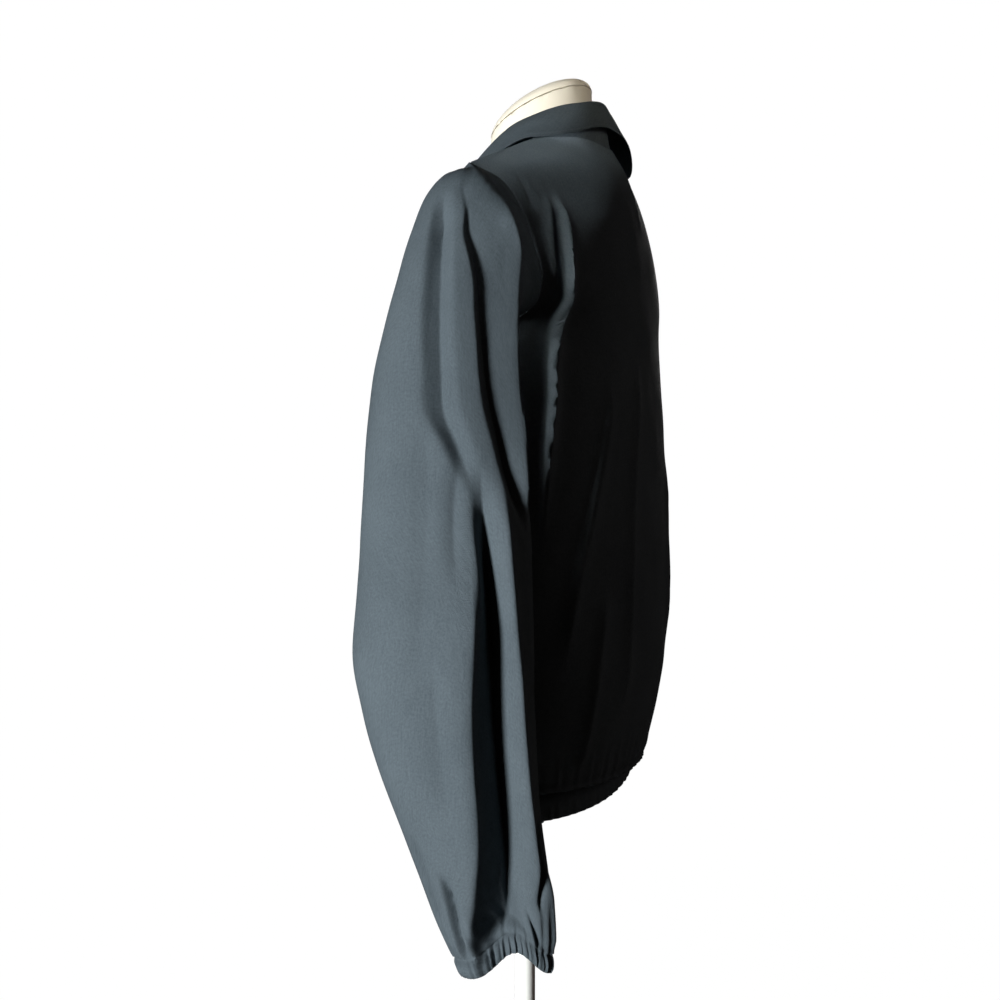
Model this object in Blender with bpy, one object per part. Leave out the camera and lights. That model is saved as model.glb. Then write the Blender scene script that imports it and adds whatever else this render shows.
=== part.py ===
# Windbreaker on a limbless dress form with a round stand, in metres.
# The wearer's front faces -Y, the wearer's left is +X, and the foot of the stand is at the origin.
import math
from collections import namedtuple

import bmesh
import bpy
import numpy as np

for old in list(bpy.data.objects):
    bpy.data.objects.remove(old, do_unlink=True)

# Cloth and finishes, with linear colours
CLOTH = 0.0015
SEAM_GAP = 0.0004
LAID_ON = 0.0004
NYLON = (0.088, 0.108, 0.122)
NYLON_ROUGHNESS = 0.6
LACQUER_ROUGHNESS = 0.35
JERSEY = (0.72, 0.66, 0.55)
JERSEY_ROUGHNESS = 0.9
ENAMEL = (0.80, 0.78, 0.72)
ENAMEL_ROUGHNESS = 0.35

# Jacket body, from the hem seam to the neck
ARMPIT_Z = 1.125
NECK_POINT = (0.068, 0.027, 1.3285)
SHOULDER_TIP = (0.180, 0.0065, 1.2818)
SHOULDER_MIDDLE = tuple((neck + tip) / 2 for neck, tip in zip(NECK_POINT, SHOULDER_TIP))
BODY_ROUND = 0.88
PANEL_COLUMNS = 12
NECK_COLUMN = 6
LOWER_ROWS = (0.7470, 0.7485, 0.755, 0.768, 0.79, 0.82, 0.87, 0.93, 1.00, 1.065, 1.125)
ARMHOLE_ROWS = 8
ARMHOLE_CENTRE_Y = 0.012
ARMHOLE_CENTRE_Z = 1.196

Section = namedtuple("Section", "z half_width side_y front_y back_y")
BODY_SECTIONS = (
    Section(0.7470, 0.1485, 0.000, -0.092, 0.0945),
    Section(0.7485, 0.1550, 0.000, -0.098, 0.1030),
    Section(0.7550, 0.1600, 0.000, -0.103, 0.1080),
    Section(0.7750, 0.168, 0.000, -0.108, 0.1140),
    Section(0.8000, 0.178, 0.000, -0.113, 0.1205),
    Section(0.8350, 0.185, 0.000, -0.118, 0.1270),
    Section(0.8900, 0.189, 0.000, -0.120, 0.1305),
    Section(0.9430, 0.190, 0.000, -0.120, 0.131),
    Section(1.0000, 0.190, 0.000, -0.119, 0.1295),
    Section(1.0760, 0.190, 0.002, -0.115, 0.127),
    Section(1.1250, 0.190, 0.004, -0.110, 0.1235),
)

# Rows of a panel above the armpit, each through five points from the centre line to the armhole
YokeRow = namedtuple("YokeRow", "z centre inner middle outer edge")
BACK_YOKE = (
    YokeRow(1.18, (0, 0.120, 1.19), (0.05, 0.119, 1.19), (0.10, 0.111, 1.187),
            (0.143, 0.092, 1.177), (0.174, 0.064, 1.164)),
    YokeRow(1.235, (0, 0.114, 1.255), (0.045, 0.111, 1.257), (0.09, 0.100, 1.254),
            (0.135, 0.078, 1.241), (0.175, 0.0565, 1.225)),
    YokeRow(1.28, (0, 0.102, 1.30), (0.042, 0.092, 1.305), (0.082, 0.072, 1.303),
            (0.134, 0.050, 1.285), (0.180, 0.037, 1.263)),
    YokeRow(1.32, (0, 0.086, 1.33), (0.044, 0.067, 1.332), NECK_POINT, SHOULDER_MIDDLE, SHOULDER_TIP),
)
FRONT_YOKE = (
    YokeRow(1.18, (0, -0.100, 1.165), (0.05, -0.098, 1.168), (0.10, -0.090, 1.168),
            (0.140, -0.071, 1.165), (0.170, -0.040, 1.160)),
    YokeRow(1.235, (0, -0.084, 1.215), (0.045, -0.079, 1.221), (0.085, -0.068, 1.224),
            (0.127, -0.050, 1.223), (0.170, -0.034, 1.213)),
    YokeRow(1.28, (0, -0.070, 1.247), (0.042, -0.059, 1.258), (0.075, -0.042, 1.271),
            (0.128, -0.025, 1.270), (0.178, -0.018, 1.257)),
    YokeRow(1.32, (0, -0.060, 1.270), (0.046, -0.034, 1.288), NECK_POINT, SHOULDER_MIDDLE, SHOULDER_TIP),
)

# Drape folds: place is the share of the way from the centre line to the side
Fold = namedtuple("Fold", "top_z top_place mid_z mid_place low_z low_place half_width height")
FOLD_FADE = 0.05
SIDE_FADE = 0.15
BACK_LEFT_FOLDS = (
    Fold(1.25, 0.76, 1.16, 0.66, 1.02, 0.72, 0.055, 0.006),
    Fold(1.23, 0.90, 1.14, 0.84, 1.00, 0.86, 0.060, -0.005),
    Fold(1.12, 0.42, 1.00, 0.48, 0.84, 0.58, 0.050, 0.0035),
    Fold(1.14, 0.24, 0.96, 0.26, 0.80, 0.20, 0.050, 0.0030),
    Fold(0.93, 0.44, 0.86, 0.52, 0.78, 0.54, 0.045, 0.0035),
)
BACK_RIGHT_FOLDS = (
    Fold(1.24, 0.72, 1.13, 0.64, 0.98, 0.68, 0.055, 0.005),
    Fold(1.10, 0.44, 0.98, 0.50, 0.82, 0.46, 0.050, 0.0035),
    Fold(0.95, 0.70, 0.87, 0.74, 0.78, 0.72, 0.050, 0.0040),
)
FRONT_LEFT_FOLDS = (
    Fold(1.20, 0.62, 1.06, 0.58, 0.88, 0.50, 0.060, 0.0040),
    Fold(1.08, 0.34, 0.94, 0.38, 0.79, 0.34, 0.050, 0.0035),
)
FRONT_RIGHT_FOLDS = (
    Fold(1.18, 0.58, 1.02, 0.60, 0.85, 0.54, 0.060, 0.0040),
    Fold(1.02, 0.32, 0.92, 0.28, 0.79, 0.34, 0.050, 0.0035),
)

# Sleeve, from the armhole to the cuff seam, each section a loop from the body side to the outer side
# The last section lies on the cuff seam, whose height follows the cuff's lower edge
SLEEVE_ROWS = 17
SLEEVE_CROWDING = 0.45
SLEEVE_CROWDED_AT = 2.64
SLEEVE_ROUND = 0.95
Loop = namedtuple("Loop", "outer_x outer_z inner_x inner_z mid_y front back")
SLEEVE_LOOPS = (
    Loop(0.222, 1.2650, 0.1965, 1.1195, 0.012, 0.041, 0.055),
    Loop(0.245, 1.2340, 0.1985, 1.1030, 0.010, 0.0435, 0.053),
    Loop(0.265, 1.1780, 0.1995, 1.0770, 0.009, 0.0515, 0.053),
    Loop(0.276, 1.1180, 0.2000, 1.0450, 0.007, 0.0605, 0.058),
    Loop(0.281, 1.0550, 0.2000, 1.0100, 0.007, 0.0655, 0.065),
    Loop(0.283, 0.9950, 0.2000, 0.9650, 0.007, 0.068, 0.070),
    Loop(0.284, 0.9350, 0.1995, 0.9150, 0.006, 0.071, 0.073),
    Loop(0.284, 0.8800, 0.1990, 0.8700, 0.005, 0.074, 0.075),
    Loop(0.282, 0.8350, 0.1990, 0.8280, 0.009, 0.070, 0.071),
    Loop(0.277, 0.7900, 0.1995, 0.7850, 0.016, 0.065, 0.066),
    Loop(0.270, 0.7400, 0.2010, 0.7380, 0.027, 0.057, 0.059),
    Loop(0.262, 0.6950, 0.2050, 0.6950, 0.037, 0.050, 0.054),
    Loop(0.2547, 0.6450, 0.2122, 0.6450, 0.0525, 0.0395, 0.0395),
)
# Sleeve folds: place is the angle in degrees from the body side through the back
SLEEVE_LEFT_FOLDS = (
    Fold(1.235, 205, 1.130, 172, 1.020, 152, 15, -0.005),
    Fold(1.245, 186, 1.165, 141, 0.965, 97, 13, -0.008),
    Fold(0.970, 129, 0.800, 139, 0.652, 158, 13, -0.015),
    Fold(1.060, 139, 0.862, 114, 0.645, 121, 12, 0.005),
)
RIGHT_SWING_Y = -0.136
SWING_FROM_Z = 0.95
SWING_TO_Z = 0.67
SWING_POWER = 1.4
SLEEVE_RIGHT_FOLDS = (
    Fold(1.220, 150, 1.140, 140, 1.060, 128, 14, -0.004),
    Fold(0.900, 215, 0.800, 208, 0.680, 195, 14, -0.006),
)

# Elastic cuff: a narrow casing whose lower edge arches on the outer side and rises towards the body
CUFF_HEIGHT = 0.015
CUFF_GATHER_COLUMNS = 4
CUFF_GATHER_DEPTH = 0.0006
CUFF_LOW_Z = 0.628
CUFF_SLOPE = 0.004
CUFF_ARCH = 0.0192
CUFF_ARCH_AT = 150
CUFF_ARCH_WIDTH = 28
CUFF_INNER_RISE = 0.012
CUFF_HALVINGS = 2
CuffRing = namedtuple("CuffRing", "share mid_x half_x mid_y half_y")
CUFF_RINGS = (
    CuffRing(0.5, 0.2335, 0.0212, 0.0545, 0.0390),
    CuffRing(1.0, 0.2335, 0.0210, 0.0560, 0.0375),
)

# Hem casing
HEM_TILT = -0.058
HEM_TILT_FROM_X = -0.10
HEM_TILT_TO_X = 0.15
HEM_COLUMNS = 56
HEM_RINGS = (
    Section(0.7466, 0.1485, 0.000, -0.0920, 0.0945),
    Section(0.7370, 0.1500, 0.000, -0.0930, 0.0960),
    Section(0.7305, 0.1480, 0.000, -0.0915, 0.0945),
)

# Collar: places run along the neckline from the front edge on the left, 0, round to the right, 24
CollarStation = namedtuple("CollarStation", "place fold edge")
COLLAR_LAST_PLACE = 24
STAND_TOP_DROP = 0.0022
STAND_BULGE = 0.001
# Rows of the fall: share of the way from the fold to the edge, then how far out and up from that line
FallRow = namedtuple("FallRow", "share out up")
FALL_ROWS = (
    FallRow(0.0, -0.0012, 0.0),
    FallRow(0.0, 0.0028, -0.0009),
    FallRow(0.35, 0.0030, 0.0020),
    FallRow(0.70, 0.0021, 0.0),
    FallRow(1.0, 0.0, 0.0),
)
COLLAR_STATIONS = (
    CollarStation(0, (0.004, -0.054, 1.290), (0.054, -0.083, 1.233)),
    CollarStation(3, (0.040, -0.024, 1.327), (0.080, -0.047, 1.277)),
    CollarStation(4.5, (0.052, 0.004, 1.346), (0.090, -0.010, 1.304)),
    CollarStation(6, (0.056, 0.030, 1.355), (0.0875, 0.022, 1.3235)),
    CollarStation(7.5, (0.050, 0.049, 1.362), (0.078, 0.046, 1.3270)),
    CollarStation(9, (0.037, 0.064, 1.367), (0.060, 0.063, 1.3335)),
    CollarStation(12, (0.000, 0.074, 1.3755), (0.004, 0.0875, 1.3485)),
    CollarStation(13.5, (-0.0185, 0.0705, 1.373), (-0.033, 0.095, 1.3416)),
    CollarStation(15, (-0.037, 0.064, 1.369), (-0.066, 0.0895, 1.321)),
    CollarStation(18, (-0.056, 0.030, 1.355), (-0.0885, 0.024, 1.3240)),
    CollarStation(19.5, (-0.052, 0.004, 1.346), (-0.090, -0.010, 1.304)),
    CollarStation(21, (-0.040, -0.024, 1.327), (-0.080, -0.047, 1.277)),
    CollarStation(24, (-0.004, -0.054, 1.290), (-0.054, -0.083, 1.233)),
)

# Front placket and its press buttons
PLACKET_COLUMNS_X = (-0.006, 0.0, 0.011, 0.0195, 0.028)
PLACKET_MIDDLE = 2
PLACKET_LIFT = 0.0012
PLACKET_ROWS = 16
SNAP_COUNT = 5
SNAP_LOW_Z = 0.80
SNAP_HIGH_Z = 1.19
SNAP_RADIUS = 0.0075
SNAP_HEIGHT = 0.0022
SNAP_SIDES = 14
SnapRing = namedtuple("SnapRing", "radius_share height_share")
SNAP_RINGS = (SnapRing(1.0, 0.0), SnapRing(1.0, 0.55), SnapRing(0.86, 0.8), SnapRing(0.4, 1.0))

# Dress form and stand
FORM_SIDES = 36
NECK_TILT = 0.46
WING_HALF_DEPTH = 0.018
WING_BLEND = 12
# Rings of the form: the wing is the half width of the shoulder ridge that stands out past the ring
FormRing = namedtuple("FormRing", "z half_width side_y front_y back_y wing tilt")
FORM_RINGS = (
    FormRing(0.770, 0.128, 0.000, -0.082, 0.078, 0.0, 0),
    FormRing(0.800, 0.142, 0.000, -0.092, 0.088, 0.0, 0),
    FormRing(0.870, 0.145, 0.000, -0.094, 0.088, 0.0, 0),
    FormRing(0.950, 0.140, 0.000, -0.092, 0.084, 0.0, 0),
    FormRing(1.050, 0.152, 0.002, -0.098, 0.098, 0.0, 0),
    FormRing(1.120, 0.160, 0.004, -0.096, 0.106, 0.0, 0),
    FormRing(1.180, 0.163, 0.008, -0.080, 0.104, 0.0, 0),
    FormRing(1.225, 0.166, 0.011, -0.060, 0.095, 0.0, 0),
    FormRing(1.255, 0.164, 0.0125, -0.045, 0.084, 0.171, 0),
    FormRing(1.271, 0.145, 0.0135, -0.038, 0.078, 0.171, 0),
    FormRing(1.2849, 0.090, 0.0140, -0.036, 0.075, 0.162, 0),
    FormRing(1.2968, 0.066, 0.0180, -0.034, 0.073, 0.1355, 0),
    FormRing(1.308, 0.056, 0.0190, -0.033, 0.071, 0.074, 0),
    FormRing(1.318, 0.052, 0.0180, -0.0325, 0.069, 0.056, 0),
    FormRing(1.328, 0.050, 0.0170, -0.032, 0.067, 0.0, 0.10),
    FormRing(1.342, 0.0485, 0.0165, -0.032, 0.066, 0.0, 0.25),
    FormRing(1.3675, 0.0480, 0.0165, -0.032, 0.065, 0.0, NECK_TILT),
)
CAP_BASE_Z = 1.368
CAP_RISE = 0.020
CAP_HALF_WIDTH = 0.0482
CAP_CENTRE_Y = 0.0165
CAP_HALF_DEPTH = 0.0487
CAP_RINGS = 6
POLE_RADIUS = 0.0097
POLE_TOP_Z = 0.7697
FLANGE_RADIUS = 0.045
FLANGE_HEIGHT = 0.010
FLANGE_EDGE = 0.002
FLANGE_NECK_HEIGHT = 0.012
FLANGE_NECK_OUT = 0.010
BASE_RADIUS = 0.18
BASE_HEIGHT = 0.008
BASE_EDGE = 0.003
HUB_RADIUS = 0.024
HUB_TOP_Z = 0.055
HUB_TAPER = 0.003
HUB_FOOT_OUT = 0.012
HUB_FOOT_RISE = 0.002
HUB_FOOT_HEIGHT = 0.010
SOCKET_FLOOR = 0.004
STAND_SIDES = 40


def paint(name, colour, roughness):
    """Plain material with this colour, given as linear red, green and blue."""
    material = bpy.data.materials.new(name)
    material.use_nodes = True
    shader = material.node_tree.nodes["Principled BSDF"]
    shader.inputs["Base Color"].default_value = (*colour, 1.0)
    shader.inputs["Roughness"].default_value = roughness
    return material


def solid(name, points, faces, material):
    """Closed body from points and faces, with its faces turned outward."""
    mesh = bpy.data.meshes.new(name)
    mesh.from_pydata([tuple(point) for point in points], [], [tuple(face) for face in faces])
    body = bmesh.new()
    body.from_mesh(mesh)
    bmesh.ops.recalc_face_normals(body, faces=body.faces)
    body.to_mesh(mesh)
    body.free()
    mesh.materials.append(material)
    thing = bpy.data.objects.new(name, mesh)
    bpy.context.scene.collection.objects.link(thing)
    return thing


def grid_faces(rows, columns, first, around):
    """Four-sided faces of a grid whose points start at index first."""
    steps = columns if around else columns - 1
    faces = []
    for row in range(rows - 1):
        for column in range(steps):
            beside = (column + 1) % columns
            low = first + row * columns
            faces.append((low + column, low + beside, low + columns + beside, low + columns + column))
    return faces


def cloth_wall(name, outer, normals, material, around=False):
    """Cloth between a grid of outer points and the same grid moved in by its thickness."""
    rows, columns = outer.shape[:2]
    inner = outer - normals * CLOTH
    points = np.concatenate([outer.reshape(-1, 3), inner.reshape(-1, 3)])
    count = rows * columns
    faces = grid_faces(rows, columns, 0, around)
    faces += [face[::-1] for face in grid_faces(rows, columns, count, around)]
    grid = np.arange(count).reshape(rows, columns)
    edges = [grid[0], grid[-1]]
    if not around:
        edges += [grid[:, 0], grid[:, -1]]
    for edge in edges:
        ends = np.append(edge, edge[0]) if around else edge
        for first, second in zip(ends[:-1], ends[1:]):
            faces.append((first, second, second + count, first + count))
    return solid(name, points, faces, material)


def unit(vectors):
    return vectors / np.linalg.norm(vectors, axis=-1, keepdims=True)


def smooth_through(keys, values, at):
    """Values at places on a smooth curve through rows of values with rising keys."""
    keys = np.asarray(keys, float)
    values = np.asarray(values, float)
    at = np.asarray(at, float)
    slopes = np.gradient(values, keys, axis=0)
    index = np.clip(np.searchsorted(keys, at, side="right") - 1, 0, len(keys) - 2)
    column = (-1,) + (1,) * (values.ndim - 1)
    span = (keys[index + 1] - keys[index]).reshape(column)
    t = (at - keys[index]).reshape(column) / span
    start = values[index] * (2 * t**3 - 3 * t**2 + 1) + slopes[index] * span * (t**3 - 2 * t**2 + t)
    end = values[index + 1] * (3 * t**2 - 2 * t**3) + slopes[index + 1] * span * (t**3 - t**2)
    return start + end


def grid_normals(grid, around, outward):
    """Unit normals of a grid, on the side where outward is positive along most of them."""
    along = np.gradient(grid, axis=0)
    if around:
        across = np.roll(grid, -1, axis=1) - np.roll(grid, 1, axis=1)
    else:
        across = np.gradient(grid, axis=1)
    normals = unit(np.cross(across, along))
    return normals if (normals * outward).sum() > 0 else -normals


def level(normals):
    """Normals turned to lie level, for an edge that ends in a flat seam."""
    flat = normals.copy()
    flat[..., 2] = 0
    return unit(flat)


def fold_heights(folds, heights, places):
    """Height of all the folds at points with these heights above the floor and places around."""
    total = np.zeros(heights.shape)
    for fold in folds:
        rising = (fold.low_z, fold.mid_z, fold.top_z)
        centre = np.interp(heights, rising, (fold.low_place, fold.mid_place, fold.top_place))
        inside = np.minimum(fold.top_z - heights, heights - fold.low_z) / FOLD_FADE
        strength = np.clip(inside, 0, 1)
        strength = strength * strength * (3 - 2 * strength)
        total += fold.height * strength * np.exp(-(((places - centre) / fold.half_width) ** 2))
    return total


def mirrored(grid):
    return grid * np.array([-1.0, 1.0, 1.0])


def set_back(edge, beside, distance):
    """Edge points moved towards the points beside them."""
    return edge + unit(beside - edge) * distance


# Jacket body

PANEL_SHARES = np.linspace(0, 1, PANEL_COLUMNS + 1)
TOP_KEY = BACK_YOKE[-1].z
ROW_KEYS = np.append(LOWER_ROWS, np.linspace(ARMPIT_Z, TOP_KEY, ARMHOLE_ROWS + 1)[1:])
ARMPIT_ROW = len(LOWER_ROWS) - 1


def panel_form(yoke, is_front):
    """Smooth form of half a panel on the left: rows from hem to neck, columns from centre to side."""
    turn = PANEL_SHARES * math.pi / 2
    sine = np.sin(turn) ** BODY_ROUND
    cosine = np.clip(np.cos(turn), 0, 1) ** BODY_ROUND
    cosine[-1] = 0
    keys = []
    rows = []
    for section in BODY_SECTIONS:
        depth = (section.front_y if is_front else section.back_y) - section.side_y
        row = np.stack([section.half_width * sine, section.side_y + depth * cosine,
                        np.full(len(turn), section.z)], axis=1)
        keys.append(section.z)
        rows.append(row)
    for row in yoke:
        points = (row.centre, row.inner, row.middle, row.outer, row.edge)
        keys.append(row.z)
        rows.append(smooth_through(np.linspace(0, 1, len(points)), points, PANEL_SHARES))
    shoulder = np.linspace(0, 1, PANEL_COLUMNS - NECK_COLUMN + 1)[:, None]
    rows[-1][NECK_COLUMN:] = np.array(NECK_POINT) * (1 - shoulder) + np.array(SHOULDER_TIP) * shoulder
    form = smooth_through(keys, np.array(rows), ROW_KEYS)
    form[:, 0, 0] = 0
    return form


BACK_FORM = panel_form(BACK_YOKE, False)
FRONT_FORM = panel_form(FRONT_YOKE, True)
FRONT_FORM[: ARMPIT_ROW + 1, -1] = BACK_FORM[: ARMPIT_ROW + 1, -1]


def armhole_normals(edge):
    """Seam normals round the armhole, away from its middle."""
    away = edge - np.array([0, ARMHOLE_CENTRE_Y, ARMHOLE_CENTRE_Z])
    away[:, 0] = 0
    return unit(away)


def body_normals():
    """Normals of the back and front halves, the same on both sides of each seam."""
    outward = np.array([0.3, 1.0, 0.2])
    back = grid_normals(BACK_FORM, False, outward)
    front = grid_normals(FRONT_FORM, False, outward * np.array([1, -1, 1]))
    for normals in (back, front):
        normals[:, 0, 0] = 0
    side = back[:ARMPIT_ROW, -1] + front[:ARMPIT_ROW, -1]
    shoulder = back[-1, NECK_COLUMN:] + front[-1, NECK_COLUMN:]
    for normals, form in ((back, BACK_FORM), (front, FRONT_FORM)):
        normals[:ARMPIT_ROW, -1] = side
        normals[-1, NECK_COLUMN:] = shoulder
        normals[ARMPIT_ROW:, -1] = armhole_normals(form[ARMPIT_ROW:, -1])
        normals[0] = level(normals[0])
    return unit(back), unit(front)


BACK_NORMALS, FRONT_NORMALS = body_normals()


def folded_panel(form, normals, folds):
    """Half a panel with its drape folds, which die away at the seams, and its seam edges set back."""
    edge_fade = np.clip((1 - PANEL_SHARES) / SIDE_FADE, 0, 1)
    heights = fold_heights(folds, form[..., 2], np.broadcast_to(PANEL_SHARES, form.shape[:2]))
    panel = form + normals * (heights * edge_fade)[..., None]
    panel[-1] = form[-1]
    half_gap = SEAM_GAP / 2
    side = slice(0, ARMPIT_ROW + 1)
    panel[side, -1] = set_back(panel[side, -1], panel[side, -2], half_gap)
    panel[-1, NECK_COLUMN:] = set_back(panel[-1, NECK_COLUMN:], panel[-2, NECK_COLUMN:], half_gap)
    return panel


def build_back():
    left = folded_panel(BACK_FORM, BACK_NORMALS, BACK_LEFT_FOLDS)
    right = mirrored(folded_panel(BACK_FORM, BACK_NORMALS, BACK_RIGHT_FOLDS))
    left[:, 0] = (left[:, 0] + right[:, 0]) / 2
    outer = np.concatenate([right[:, :0:-1], left], axis=1)
    normals = np.concatenate([mirrored(BACK_NORMALS)[:, :0:-1], BACK_NORMALS], axis=1)
    cloth_wall("back", outer, normals, paint("back_nylon", NYLON, NYLON_ROUGHNESS))


def build_fronts():
    """Both front panels, which meet at the centre line. Returns the left one's outer grid."""
    left = folded_panel(FRONT_FORM, FRONT_NORMALS, FRONT_LEFT_FOLDS)
    right = folded_panel(FRONT_FORM, FRONT_NORMALS, FRONT_RIGHT_FOLDS)
    for panel in (left, right):
        panel[:, 0, 0] += SEAM_GAP / 2
    cloth_wall("front_left", left, FRONT_NORMALS, paint("front_left_nylon", NYLON, NYLON_ROUGHNESS))
    cloth_wall("front_right", mirrored(right), mirrored(FRONT_NORMALS),
               paint("front_right_nylon", NYLON, NYLON_ROUGHNESS))
    return left


# Sleeves

def with_midpoints(values, closing):
    """Values round a loop, the last step of which leads to closing, with the middle of each step added."""
    following = np.concatenate([values[1:], [closing]])
    return np.stack([values, (values + following) / 2], axis=1).reshape(-1, *values.shape[1:])


def armhole_loop():
    """Armhole from the armpit up the back to the shoulder tip and down the front, with its normals."""
    up = BACK_FORM[ARMPIT_ROW:, -1]
    down = FRONT_FORM[ARMPIT_ROW:-1, -1][::-1]
    loop = with_midpoints(np.concatenate([up, down[:-1]]), up[0])
    return loop, armhole_normals(loop)


def swung(z, swing):
    """How far a sleeve has swung along Y at height z, with the full swing at the cuff."""
    return swing * np.clip((SWING_FROM_Z - z) / (SWING_FROM_Z - SWING_TO_Z), 0, 1) ** SWING_POWER


def cuff_edge_z(angle):
    """Height of the cuff's lower edge: low in front, arched on the outer side, raised towards the body."""
    arch = np.exp(-(((np.degrees(angle) - CUFF_ARCH_AT) / CUFF_ARCH_WIDTH) ** 2))
    body_side = np.clip(np.cos(angle), 0, 1) ** 2
    return CUFF_LOW_Z + CUFF_SLOPE * np.sin(angle) + CUFF_ARCH * arch + CUFF_INNER_RISE * body_side


def sleeve_grid(folds, swing):
    """Outer grid, normals and angles of a sleeve on the left, rows from the armhole to the cuff seam."""
    armhole, seam_normals = armhole_loop()
    along = np.roll(armhole, -1, axis=0) - np.roll(armhole, 1, axis=0)
    away = unit(np.cross(along, seam_normals))
    away *= np.sign(away[:, :1].sum())
    columns = len(armhole)
    share = np.arange(columns) / columns
    shift = SLEEVE_CROWDED_AT - math.pi
    angle = 2 * math.pi * share + SLEEVE_CROWDING * np.sin(2 * math.pi * share - shift)
    cosine = np.sign(np.cos(angle)) * np.abs(np.cos(angle)) ** SLEEVE_ROUND
    sine = np.sign(np.sin(angle)) * np.abs(np.sin(angle)) ** SLEEVE_ROUND
    loops = [armhole + away * SEAM_GAP]
    for loop in SLEEVE_LOOPS:
        outward = (1 - cosine) / 2
        x = loop.inner_x + (loop.outer_x - loop.inner_x) * outward
        z = loop.inner_z + (loop.outer_z - loop.inner_z) * outward
        y = loop.mid_y + swung(z, swing) + np.where(sine > 0, loop.back, loop.front) * sine
        loops.append(np.stack([x, y, z], axis=1))
    loops[-1][:, 2] = cuff_edge_z(angle) + CUFF_HEIGHT + SEAM_GAP
    places = np.linspace(0, len(SLEEVE_LOOPS), SLEEVE_ROWS + 1)
    grid = smooth_through(np.arange(len(loops)), np.array(loops), places)
    normals = grid_normals(grid, True, np.stack([-cosine, sine, 0 * sine], axis=1))
    normals[0] = seam_normals
    normals[-1] = level(normals[-1])
    heights = fold_heights(folds, grid[..., 2], np.broadcast_to(np.degrees(angle), grid.shape[:2]))
    heights[0] = 0
    folded = grid + normals * heights[..., None]
    folded_normals = grid_normals(folded, True, normals)
    folded_normals[0] = seam_normals
    folded_normals[-1] = level(folded_normals[-1])
    return folded, folded_normals, angle


def cuff_grid(seam, seam_normals, angle, swing):
    """Gathered casing under a sleeve's end, made from that end's points, with its normals."""
    closing_angle = angle[0] + 2 * math.pi
    for halving in range(CUFF_HALVINGS):
        seam = with_midpoints(seam, seam[0])
        seam_normals = with_midpoints(seam_normals, seam_normals[0])
        angle = with_midpoints(angle, closing_angle)
    wave = np.cos(2 * math.pi * np.arange(len(angle)) / CUFF_GATHER_COLUMNS)
    top = seam - np.array([0, 0, SEAM_GAP])
    edge_z = cuff_edge_z(angle)
    rings = [top]
    normals = [seam_normals]
    level_out = np.stack([-np.cos(angle), np.sin(angle), 0 * angle], axis=1)
    for ring in CUFF_RINGS:
        gather = CUFF_GATHER_DEPTH * wave * ring.share
        x = ring.mid_x - (ring.half_x + gather) * np.cos(angle)
        y = ring.mid_y + swing + (ring.half_y + gather) * np.sin(angle)
        z = top[:, 2] + (edge_z - top[:, 2]) * ring.share
        rings.append(np.stack([x, y, z], axis=1))
        normals.append(unit(level_out / np.array([ring.half_x, ring.half_y, 1.0])))
    return np.array(rings), np.array(normals)


def build_sleeves():
    """Both sleeves, each with its cuff. The right ones are made on the left and turned over."""
    sides = (("left", SLEEVE_LEFT_FOLDS, 0.0), ("right", SLEEVE_RIGHT_FOLDS, RIGHT_SWING_Y))
    for side, folds, swing in sides:
        sleeve, sleeve_normals, angle = sleeve_grid(folds, swing)
        cuff, cuff_normals = cuff_grid(sleeve[-1], sleeve_normals[-1], angle, swing)
        for piece, outer, normals in (("sleeve", sleeve, sleeve_normals), ("cuff", cuff, cuff_normals)):
            if side == "right":
                outer = mirrored(outer)
                normals = mirrored(normals)
            name = f"{piece}_{side}"
            cloth_wall(name, outer, normals, paint(name + "_nylon", NYLON, NYLON_ROUGHNESS), around=True)


# Hem casing

def section_ring(section, sides, roundness):
    """Closed loop of a body section, from the front centre round by the left."""
    angle = np.linspace(0, 2 * math.pi, sides, endpoint=False)
    sine = np.sign(np.sin(angle)) * np.abs(np.sin(angle)) ** roundness
    cosine = np.sign(np.cos(angle)) * np.abs(np.cos(angle)) ** roundness
    depth = np.where(cosine > 0, section.front_y - section.side_y, section.side_y - section.back_y)
    return np.stack([section.half_width * sine, section.side_y + depth * cosine,
                     np.full(sides, section.z)], axis=1)


def build_hem():
    outer = np.array([section_ring(section, HEM_COLUMNS, BODY_ROUND) for section in HEM_RINGS])
    outer[-1, :, 2] += HEM_TILT * np.clip(outer[-1, :, 0], HEM_TILT_FROM_X, HEM_TILT_TO_X)
    normals = level(grid_normals(outer, True, outer * np.array([1, 1, 0])))
    cloth_wall("hem_casing", outer, normals, paint("hem_nylon", NYLON, NYLON_ROUGHNESS), around=True)


# Collar

def collar_lines():
    """Neckline, fold and outer edge of the collar, a point for each place."""
    left = np.concatenate([FRONT_FORM[-1, : NECK_COLUMN + 1], BACK_FORM[-1, :NECK_COLUMN][::-1]])
    neckline = np.concatenate([left, mirrored(left)[-2::-1]])
    keys = [station.place for station in COLLAR_STATIONS]
    places = np.arange(COLLAR_LAST_PLACE + 1)
    fold = smooth_through(keys, [station.fold for station in COLLAR_STATIONS], places)
    edge = smooth_through(keys, [station.edge for station in COLLAR_STATIONS], places)
    return neckline, fold, edge


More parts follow.
